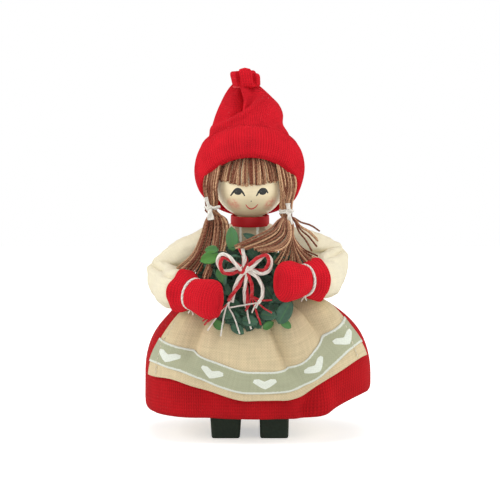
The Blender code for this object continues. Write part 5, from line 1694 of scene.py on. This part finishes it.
def bow_pair(points, thick, turns, start):
    """Red and white yarn wound together through points from the knot in millimetres."""
    path = respaced(curve_through(np.array(points) * MM + KNOT, 8), 60)
    return tubes(twisted_pair(path, thick, turns, start), thick / 2, tint=RED_AND_WHITE, **BOW_TWIST)


def bow_ply(points, tint, radius):
    """One yarn or frayed ply through points from the knot in millimetres."""
    path = respaced(curve_through(np.array(points) * MM + KNOT, 6), 30)
    return tubes(path[None], radius, tint=tint, **BOW_TWIST)


def right_tail(thick):
    """A twisted tail that frays into white and red plies."""
    both = [(-0.5, -0.8, -1), (-3.0, -2.2, -7), (-6.0, -3.4, -13), (-7.8, -3.8, -17.5)]
    skins = [bow_pair(both, thick, 0.8, 1.2)]
    for x, y, z in ((-20.2, -7.0, -33.0), (-13.0, -6.6, -36.2), (-2.6, -6.4, -35.0)):
        ends = [(-7.4, -3.8, -16.5), (-8.4 + 0.10 * x, -4.6, -20), (0.55 * x - 4.2, -5.6, -26), (x, y, z)]
        skins.append(bow_ply(ends, 1.0, 0.42 * MM))
    for x, y, z in ((-22.9, -6.4, -28.0), (-22.0, -6.8, -30.0), (-20.0, -6.2, -28.5)):
        ends = [(-7.8, -3.6, -17.0), (-10.5, -4.6, -20), (0.6 * x - 3.0, -5.6, -24), (x, y, z)]
        skins.append(bow_ply(ends, 0.0, 0.5 * MM))
    return joined(skins)


def left_tail(thick):
    """A white yarn, a red one and a twisted tail, each with frayed plies."""
    white = [(0.8, -0.8, -1), (6.0, -2.6, -3.5), (9.4, -3.6, -8.5), (9.8, -4.2, -14), (7.6, -4.6, -18.5)]
    red = [(0.4, -0.6, -1), (3.2, -2.2, -6), (4.2, -3.2, -11), (3.6, -3.8, -15)]
    both = [(0.2, -0.4, -1.5), (0.6, -1.6, -8), (0.8, -2.2, -15), (1.2, -2.8, -21)]
    skins = [bow_ply(white, 1.0, thick / 2), bow_ply(red, 0.0, thick / 2)]
    skins.append(bow_pair(both, 0.92 * thick, 0.7, 0.2))
    for x, z in ((-8.0, -20.6), (4.0, -23.5), (6.2, -21.0)):
        ends = [(7.8, -4.5, -18), (0.5 * x + 4.0, -5.2, -19.2), (x, -5.4, z)]
        skins.append(bow_ply(ends, 1.0, 0.42 * MM))
    for x, z in ((15.0, -16.4), (15.0, -23.6), (7.4, -26.4), (9.0, -30.2), (0.4, -22.4)):
        ends = [(3.6, -3.8, -14.5), (0.5 * x + 2.2, -4.8, 0.5 * z - 8.5), (x, -5.4, z)]
        skins.append(bow_ply(ends, 0.0, 0.48 * MM))
    skins.append(bow_ply([(1.2, -3.0, -20.5), (2.0, -4.2, -26), (3.6, -5.0, -32.6)], 1.0, 0.5 * MM))
    return joined(skins)


class DOLL_OT_bow(bpy.types.Operator):
    """Red and white yarn bow: hitch, knot, two loops, a stub and tails that fray into single plies"""

    bl_idname = "doll.bow"
    bl_label = "Bow"

    def execute(self, context):
        sizes, colours = context.scene.doll_sizes, context.scene.doll_colours
        thick = sizes.bow_yarn
        strand = yarn("bow_yarn", colours.yarn_red, colours.yarn_white, plies=3, pitch=5.5 * MM)
        turn = np.linspace(0, TAU, 60)
        top = in_wreath(WREATH_RING * spokes(math.radians(HITCH_ANGLE))[0])
        down = unit(KNOT - top)
        middle = (top + KNOT) / 2 - down * 0.6 * MM
        half = np.linalg.norm(KNOT - top) / 2 + 0.4 * MM
        out = unit(np.cross(down, X))
        ring = middle + half * np.cos(turn)[:, None] * down + 2.3 * MM * np.sin(turn)[:, None] * out
        facing = X + 1e-3
        hitch = twisted_pair(ring, 1.1 * thick, 0.0, 0.0, facing)
        hitch = tubes(hitch, thick / 2, facing=facing, tint=RED_AND_WHITE, **BOW_TWIST)
        add_piece("bow_hitch_yarn", hitch, strand, "arms", ["bow_hitch"])
        wraps = []
        for aside, tint in zip((-0.72, 0.72), RED_AND_WHITE):
            wrap = stacked(1.5 * np.cos(turn) + aside, -2.1 * np.sin(turn) - 0.5, 2.3 * np.cos(turn + 0.5))
            path = (KNOT + wrap * MM)[None]
            wraps.append(tubes(path, 0.52 * thick, facing=(0.8, 0.1, -0.6), tint=tint, **BOW_TWIST))
        stub = [(0, 0, 1), (0.6, -0.8, 5), (-1.2, -1.5, 9.5), (-2.4, -1.2, 12.6)]
        wraps.append(bow_pair(stub, thick, 0.4, 0.3))
        add_piece("bow_knot_yarn", joined(wraps), strand, "arms", ["bow_knot"])
        for name, side, tilt, start in (("right", -1, 0.30, 0.6), ("left", 1, 0.34, 2.2)):
            reach = LOOP_REACH * (1 - np.cos(turn)) / 2
            rise = LOOP_RISE * np.sin(turn) * (1 - np.cos(turn)) / 1.3 + tilt * reach
            loop = stacked(side * (1.0 + reach), -1.0 - 0.22 * reach - 0.9 * np.sin(turn), rise)
            pair = twisted_pair(KNOT + loop * MM, 1.02 * thick, 1.0, start)
            skin = tubes(pair, thick / 2, tint=RED_AND_WHITE, **BOW_TWIST)
            add_piece("bow_loop_yarn_" + name, skin, strand, "arms", ["bow_loop_" + name])
        for name, skin in (("right", right_tail(thick)), ("left", left_tail(thick))):
            add_piece("bow_tail_yarn_" + name, skin, strand, "arms", ["bow_tail_" + name])
        return {"FINISHED"}


# Head and face


def on_ball(x, z, lift):
    """A point of the face, given across and up from the ball's middle, lifted off its surface."""
    reach = HEAD_RADIUS + lift
    return HEAD + stacked(x, -np.sqrt(np.maximum(reach**2 - x**2 - z**2, 0.0)), z)


def stroke(points):
    """A brush stroke on the face through points across, up and half width, domed and closed at its ends."""
    line = curve_through(np.array(points) * MM, 8)
    ahead = unit(np.gradient(line[:, :2], axis=0))
    side = np.stack([-ahead[:, 1], ahead[:, 0]], axis=-1)
    t = np.linspace(1, -1, 7)
    spots = line[:, None, :2] + t[:, None] * line[:, 2, None, None] * side[:, None]
    return grid_patch(on_ball(spots[..., 0], spots[..., 1], 0.10 * MM * (1 - t**2) - 0.03 * MM))


def dot(x, z, wide, high):
    """A round dab of paint on the face."""
    fill = np.linspace(0, 1, 8)[:, None]
    turn = once_round(32)
    lift = (0.11 * (1 - fill**4) - 0.03) * MM
    spot = on_ball((x + wide * fill * np.cos(turn)) * MM, (z - high * fill * np.sin(turn)) * MM, lift)
    return grid_patch(spot, wrap=True)


class DOLL_OT_head(bpy.types.Operator):
    """Turned ball with painted eyes, nose, smile and rosy cheeks, and a painted highlight in each eye"""

    bl_idname = "doll.head"
    bl_label = "Head and face"

    def execute(self, context):
        colours = context.scene.doll_colours
        rise = np.linspace(-math.pi / 2, math.pi / 2, 97)[:, None]
        turn = once_round(128)
        flat = np.cos(rise)
        ball = HEAD + HEAD_RADIUS * stacked(flat * np.cos(turn), flat * np.sin(turn), np.sin(rise))
        cheeks = [on_ball(x * MM, CHEEK_Z * MM, 0.0) + MOVED for x in CHEEKS]
        face = face_paint(colours.skin, colours.blush, cheeks)
        add_piece("wooden_head", grid_patch(ball, wrap=True), face, "head", ["head_ball"])
        ink = []
        for x, lid in EYES.items():
            ink.append(dot(x, EYE_Z, *EYE_HALF))
            ink.append(stroke(lid))
        ink.append(dot(*NOSE))
        charcoal = brushed_paint("charcoal_paint", colours.ink)
        add_piece("painted_eyes", joined(ink), charcoal, "head")
        # A lighter dot in each pupil: painted highlight
        aside, *glint = GLINT
        glints = joined([dot(x + aside, *glint) for x in EYES])
        glints = glints._replace(points=glints.points - Y * 0.08 * MM)
        pale = brushed_paint("glint_highlight_paint", linear("#3A403B"))
        add_piece("eye_glints", glints, pale, "head")
        rose = brushed_paint("rose_paint", colours.lips)
        add_piece("painted_smile", stroke(SMILE), rose, "head")
        return {"FINISHED"}


# Hair


def hair_tints(rng, count):
    """One tint per strand: mostly brown, about a third pale."""
    pale = rng.uniform(size=count) < PALE_SHARE
    return np.where(pale, rng.uniform(0.7, 1.0, count), rng.uniform(0.0, 0.4, count))


def filled_disc(count, reach):
    """Points in millimetres that fill a disc evenly, one after another along a spiral."""
    order = np.arange(count)
    turn = SPIRAL * order
    far = reach * np.sqrt((order + 0.5) / count)
    return stacked(far * np.cos(turn), far * np.sin(turn), 0.0)


class DOLL_OT_hair(bpy.types.Operator):
    """Yarn fringe over the forehead and a flat bundle of yarn at each side"""

    bl_idname = "doll.hair"
    bl_label = "Fringe and side hair"

    def execute(self, context):
        sizes, colours = context.scene.doll_sizes, context.scene.doll_colours
        hair = yarn("hair_yarn", colours.hair_dark, colours.hair_light, pitch=2.2 * MM, sheen=0.04)
        thick = sizes.hair_yarn
        rng = np.random.default_rng(5)
        t = np.linspace(0, 1, 12)
        radii = thick / 2 * np.where(t > 0.95, 1.3, 1.0)
        skins = []
        for layer, count in enumerate(FRINGE_STRANDS):
            across = np.radians(np.linspace(*FRINGE_SPAN, count) + rng.uniform(-0.8, 0.8, count))
            lean = np.radians(rng.normal(0, 3.6, count))
            arch = 1.0 + 8.5 * (np.abs(across) / 1.05) ** 2
            low = np.radians(arch + rng.uniform(-1.8, 1.8, count) + 2.2 * layer)
            rise = FRINGE_TOP + (low[:, None] - FRINGE_TOP) * t
            side = across[:, None] * (1.12 - 0.12 * t) + lean[:, None] * t
            uneven = 0.25 * MM * rng.normal(size=(count, 1)) * t + 0.7 * MM * t**8
            reach = HEAD_RADIUS + (0.5 + 0.65 * layer) * MM + uneven
            paths = HEAD + about_axis(side, reach * np.cos(rise), reach * np.sin(rise))
            skins.append(tubes(paths, radii, facing=(0, 0.2, 1), tint=hair_tints(rng, count), **HAIR_TWIST))
        add_piece("yarn_fringe", joined(skins), hair, "head", ["fringe"])
        count = SIDE_STRANDS
        w = np.tile(np.linspace(0, 1, count // 3), 3)
        layer = np.repeat([0.0, 1.0, 2.0], count // 3)
        for name, tie in TIES.items():
            side, out = ARMS[name].side, SIDE_OUT[name]
            jitter = rng.normal(0, 0.22, (3, count)).T
            under_cap = side * (13.8 + out + (7.4 - out) * w)
            start = stacked(under_cap, 8.4 * w - 14.0 - 0.2 * layer, 17.5 - 3.0 * w)
            at_cheek = side * (16.9 + out + (8.3 - out) * w)
            middle = jitter + stacked(at_cheek, 5.0 * w - 14.4 - 0.7 * layer, 0.5)
            bundle = filled_disc(count, 3.1)
            bundle[np.argsort(w, kind="stable")] = bundle[np.argsort(side * bundle[:, 0])]
            neck = tie / MM + bundle * 1.15 + [0, 0, 4.5]
            end = tie / MM + bundle - [0, 0, 0.6]
            paths = HEAD + MM * curve_through(np.stack([start, middle, neck, end], axis=1), 6)
            tint = hair_tints(rng, count)
            skin = tubes(paths, thick / 2, facing=(0.3 * side, -1, 0.2), tint=tint, **HAIR_TWIST)
            add_piece("side_hair_" + name, skin, hair, "head", ["lock_" + name])
        return {"FINISHED"}


def loose_strands(rng, tresses):
    """Paths of loose strands in millimetres from their tie, spread between each tress's two edges."""
    starts = iter(filled_disc(sum(tress[0] for tress in tresses), 2.9) - 0.2 * Z)
    spread = np.array([[0.3], [0.6], [1.0], [1.5]])
    paths = []
    for count, deep, first, last in tresses:
        for w in np.linspace(0, 1, count):
            start = next(starts)
            mix = np.clip(w + rng.uniform(-0.1, 0.1), -0.05, 1.05)
            way = np.array(first) + (np.array(last) - first) * mix
            way = way - Y * deep * rng.uniform(-1, 1) + rng.normal(0, 0.45, 3) * spread
            way[3] = way[2] + (way[3] - way[2]) * rng.uniform(0.80, 1.07)
            paths.append(curve_through([start, start * (1.05, 1.05, 1) - (0, 0.4, 2.2), *way], 14))
    return paths


class DOLL_OT_pigtails(bpy.types.Operator):
    """Loose yarn below the ties, in an upper part just below each tie and a lower part further down"""

    bl_idname = "doll.pigtails"
    bl_label = "Pigtails"

    def execute(self, context):
        sizes = context.scene.doll_sizes
        hair = bpy.data.materials["hair_yarn"]
        rng = np.random.default_rng(9)
        for name, tie in TIES.items():
            root = HEAD + tie
            upper, lower = [], []
            for path in loose_strands(rng, TRESSES[name]):
                path = root + MM * path
                cut = int(np.argmax(path[:, 2] < root[2] - SPLIT))
                upper.append(respaced(path[: cut + 1], 10))
                lower.append(respaced(path[cut:], 16))
            tint = hair_tints(rng, len(upper))
            for part, paths, nodes, other, top, low in (
                ("upper", upper, ["pigtail_" + name], "head", -SPLIT + 1 * MM, -1.5 * MM),
                ("lower", lower, [], "arms", -SPLIT - 1 * MM, -SPLIT - 13 * MM),
            ):
                skin = tubes(paths, sizes.hair_yarn / 2, facing=(0.25, -0.35, 1.0), tint=tint, **HAIR_TWIST)
                piece = add_piece(f"loose_hair_{part}_{name}", skin, hair, None, nodes)
                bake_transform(piece)
        return {"FINISHED"}


class DOLL_OT_hair_ties(bpy.types.Operator):
    """Soft white yarn tied round each pigtail, with short thick ends"""

    bl_idname = "doll.hair_ties"
    bl_label = "Hair ties"

    def execute(self, context):
        sizes, colours = context.scene.doll_sizes, context.scene.doll_colours
        pale = shade(colours.yarn_white, 0.94)[:3]
        white = yarn("soft_tie_yarn", pale, colours.yarn_white, pitch=4.5 * MM, depth=0.4 * MM)
        thick = sizes.tie_yarn
        twist = {"sides": 10, "plies": 2, "pitch": 4.5 * MM}
        turn = np.linspace(0.3, 0.3 + TAU, 60)
        reach = TIE_REACH + 0.08 * thick
        ring = about_axis(turn, reach, thick * 0.25 * (turn / TAU - 0.5))
        ball = stacked(0.8 * np.cos(turn), -0.5 * np.sin(2 * turn), 0.8 * np.sin(turn))[:57] * MM
        for name, tie in TIES.items():
            place = HEAD + tie
            knot = place - Y * (reach + 0.5 * thick) + X * KNOT_ASIDE[name]
            skins = [tubes((place + ring)[None], 0.28 * thick, facing=(0.02, 0.01, 1.0), **twist)]
            for width, *ends in TIE_ENDS[name]:
                path = knot + MM * curve_through([(0.0, 0.3, 0.0), *ends], 8)
                taper = 0.5 * thick * width * (0.75 + 0.35 * np.linspace(0, 1, len(path)) ** 1.5)
                skins.append(tubes(path[None], taper, 10, (0.3, 0.9, 0.3), plies=2, pitch=6.0 * MM))
            skins.append(tubes((ball + knot)[None], 0.40 * thick, facing=(0.1, 1, 0.1), **twist))
            nodes = ["hair_tie_" + name]
            add_piece("hair_tie_yarn_" + name, joined(skins, 0.7), white, "head", nodes)
        return {"FINISHED"}


# Cap


def cap_frame(share):
    """Middle and back direction of the cap's section at shares of its length, summed along its bend."""
    steps = np.linspace(0, 1.3, 1301)
    tilts = np.radians(TIP_TILT + (RIM_TILT - TIP_TILT) * np.maximum(1 - steps, 0.0) ** 0.6)
    ways = stacked(0.0, np.sin(tilts), np.cos(tilts))
    run = np.concatenate([np.zeros((1, 3)), np.cumsum((ways[1:] + ways[:-1]) / 2, axis=0)])
    middles = HEAD - ways[0] * RIM_BELOW + run * (steps[1] * CROWN_LENGTH)
    middles[:, 0] += CROWN_LEAN * steps**3
    tilt = np.interp(share, steps, tilts)
    return read_off(share, steps, middles), stacked(0.0, np.cos(tilt), -np.sin(tilt))


def cap_point(share, angles, reach):
    """A point round the cap: angle 0 is the doll's left and a quarter turn is the back."""
    lift = CUFF_LIFT * np.maximum(-np.sin(angles), 0.0) ** 2 * (1 - smoothstep(0.3, 0.6, share))
    middle, back = cap_frame(share + lift / CROWN_LENGTH)
    way = np.cos(angles)[..., None] * X + np.sin(angles)[..., None] * back
    return middle + reach[..., None] * way, way


def crown_reach(share):
    """The crown's radius, full over the head and drawn in to its neck."""
    profile = curve_through(CROWN, 6)
    return np.interp(share, profile[:, 0], profile[:, 1]) * MM


def seen_height(points):
    """Height in millimetres as seen from the camera's tilt, for lines measured in the front view."""
    return (math.cos(CAMERA_TILT) * points[..., 2] + math.sin(CAMERA_TILT) * (points[..., 1] - AIM[1])) / MM


def crown_press(points, front, side):
    """How far the crown sinks in front: above its slanting fold, and into the crease under the tuft."""
    x, v = points[..., 0] / MM, seen_height(points)
    fold, crease = (np.array(line).T for line in (FOLD_LINE, CREASE_LINE))
    above = v - np.interp(x, *fold)
    sunk = 4.6 * smoothstep(-0.2, 0.9, above) * (1 - smoothstep(5.0, 19.0, above))
    sunk = sunk * (1 - smoothstep(3.0, 11.0, x))
    swell = 1.5 * bump(above + 2.0, 2.2) * (1 - smoothstep(5.0, 13.0, x))
    off = x - np.interp(v, *crease)
    groove = 6.0 * smoothstep(-10.0, 0.0, off) * (1 - smoothstep(0.0, 1.2, off)) - 1.4 * bump(off - 2.8, 1.8)
    groove = groove * smoothstep(-1.0, 2.0, above) * (1 - smoothstep(191.0, 196.5, v))
    left = smoothstep(0.2, 0.8, side) * (1.7 * bump(v - 173.2, 3.8) - 1.5 * bump(v - 184.0, 9.0))
    right = smoothstep(0.2, 0.8, -side) * 0.9 * bump(v - 184.0, 8.0)
    return (front * (sunk - swell + groove) + left + right) * MM


class DOLL_OT_cap(bpy.types.Operator):
    """Knitted cap: crown with its slanting fold and crease, and the thick turned-up cuff with a painted
    highlight along its top edge
    """

    bl_idname = "doll.cap"
    bl_label = "Cap"

    def execute(self, context):
        sizes, colours = context.scene.doll_sizes, context.scene.doll_colours
        wool = knit("cap_knit", colours.cap, sizes.cap_stitch, 0.95 * sizes.cap_stitch)
        angles = once_round(320)
        share = np.linspace(0.02, 1.04, 132)[:, None]
        gather = 0.07 * smoothstep(0.84, 1.02, share)
        points, way = cap_point(share, angles, crown_reach(share) * (1 - gather * np.cos(7 * angles + 1.2)))
        front = smoothstep(-0.05, 0.55, -np.sin(angles))
        press = crown_press(points, front, np.cos(angles)) + 0.12 * MM * wobble(points, 14 * MM, 17)
        uv = uv_grid(np.linspace(0, TAU * CROWN_RADIUS, 321), CROWN_LENGTH * share[:, 0])
        crown = grid_patch(points - way * press[..., None], uv, True)
        add_piece("cap_crown", crown, wool, "head", ["hat_crown"], wall=CROWN_WALL, outward=False)
        top = CUFF_HEIGHT / CROWN_LENGTH
        inner = CROWN_RADIUS + 0.3 * MM
        far, thick, bulge = curve_through(CAP_CUFF, 5).T[..., None]
        angles = once_round(6 * CUFF_RIBS)
        uneven = 0.10 * MM * np.cos(CUFF_RIBS * angles) + 0.5 * MM * wobble(circle(angles), 0.9, 23)
        reach = inner + CUFF_THICK * thick + CUFF_BULGE * bulge + uneven * np.clip(thick, 0, 1)
        points, _ = cap_point(np.maximum(far * top, 0.0), angles, reach)
        uv = uv_grid(np.linspace(0, TAU * (CROWN_RADIUS + CUFF_THICK), len(angles) + 1), mean_rise(points))
        add_piece("cap_cuff", grid_patch(points, uv, True), wool, "head", ["hat_cuff"])
        ring = np.linspace(0, TAU, 3 * CUFF_RIBS + 1)
        reach = inner + 0.72 * CUFF_THICK + 0.12 * MM * np.cos(CUFF_RIBS * ring)
        path, _ = cap_point(0.99 * top, ring, reach)
        # A lighter red rim along the cuff's top edge: a painted highlight
        edge = knit("cap_edge_highlight", shade(colours.cap, 1.25)[:3], sizes.cap_stitch, sizes.cap_stitch)
        rim = tubes(path[None], 0.6 * MM, 8, (0.0, 0.69, 0.72))
        add_piece("cap_edge_highlight", rim, edge, "head")
        return {"FINISHED"}


class DOLL_OT_tuft(bpy.types.Operator):
    """Gathered end of the cap: broad folds that open like a flower round a hollow"""

    bl_idname = "doll.tuft"
    bl_label = "Tuft"

    def execute(self, context):
        wool = bpy.data.materials["cap_knit"]
        angles = once_round(200)
        degrees = np.degrees(angles)
        share, radius, folded = curve_through(TUFT, 5).T[..., None]
        grooves = sum(bump(turned_by(degrees, middle), half) for middle, half in TUFT_GROOVES)
        first = TUFT_TURNS[0]
        tall = np.interp((degrees - first) % 360 + first, TUFT_TURNS, TUFT_RISES)
        reach = np.maximum(radius, 0.0) * (1 - 0.34 * folded * grooves) * MM
        points, _ = cap_point(1.0 + (share * tall + 1.2) * MM / CROWN_LENGTH, angles, reach)
        points = points + TUFT_ASIDE
        rings = np.concatenate([np.broadcast_to(points[0].mean(axis=0), points[:1].shape), points])
        uv = uv_grid(np.linspace(0, TAU * 8 * MM, 201), np.concatenate([[0.0], mean_rise(points)]))
        add_piece("cap_tuft", grid_patch(rings, uv, True), wool, "head", ["hat_tuft"])
        return {"FINISHED"}


class DOLL_PT_panel(bpy.types.Panel):
    """Lists the doll's sizes, colours and pieces"""

    bl_label = "Doll"
    bl_idname = "DOLL_PT_panel"
    bl_space_type = "VIEW_3D"
    bl_region_type = "UI"
    bl_category = "Doll"

    def draw(self, context):
        for step in STEPS:
            self.layout.operator(step.bl_idname)
        for group in (context.scene.doll_sizes, context.scene.doll_colours):
            box = self.layout.box()
            for key in group.__annotations__:
                box.prop(group, key)


STEPS = (
    DOLL_OT_stage,
    DOLL_OT_frame,
    DOLL_OT_padding,
    DOLL_OT_torso,
    DOLL_OT_skirt,
    DOLL_OT_apron,
    DOLL_OT_heart_band,
    DOLL_OT_bodice,
    DOLL_OT_collar,
    DOLL_OT_sleeves,
    DOLL_OT_mittens,
    DOLL_OT_wrist_ties,
    DOLL_OT_wreath,
    DOLL_OT_bow,
    DOLL_OT_head,
    DOLL_OT_hair,
    DOLL_OT_pigtails,
    DOLL_OT_hair_ties,
    DOLL_OT_cap,
    DOLL_OT_tuft,
)
CLASSES = (DollSizes, DollColours, *STEPS, DOLL_PT_panel)


def register():
    """Add the classes and the scene's doll settings."""
    for each in CLASSES:
        bpy.utils.register_class(each)
    bpy.types.Scene.doll_sizes = bpy.props.PointerProperty(type=DollSizes)
    bpy.types.Scene.doll_colours = bpy.props.PointerProperty(type=DollColours)


def unregister():
    """Remove the settings and the classes."""
    del bpy.types.Scene.doll_colours
    del bpy.types.Scene.doll_sizes
    for each in reversed(CLASSES):
        bpy.utils.unregister_class(each)


def main():
    """Dress the doll."""
    register()
    for step in STEPS:
        getattr(bpy.ops.doll, step.bl_idname.split(".")[1])()


if __name__ == "__main__":
    main()
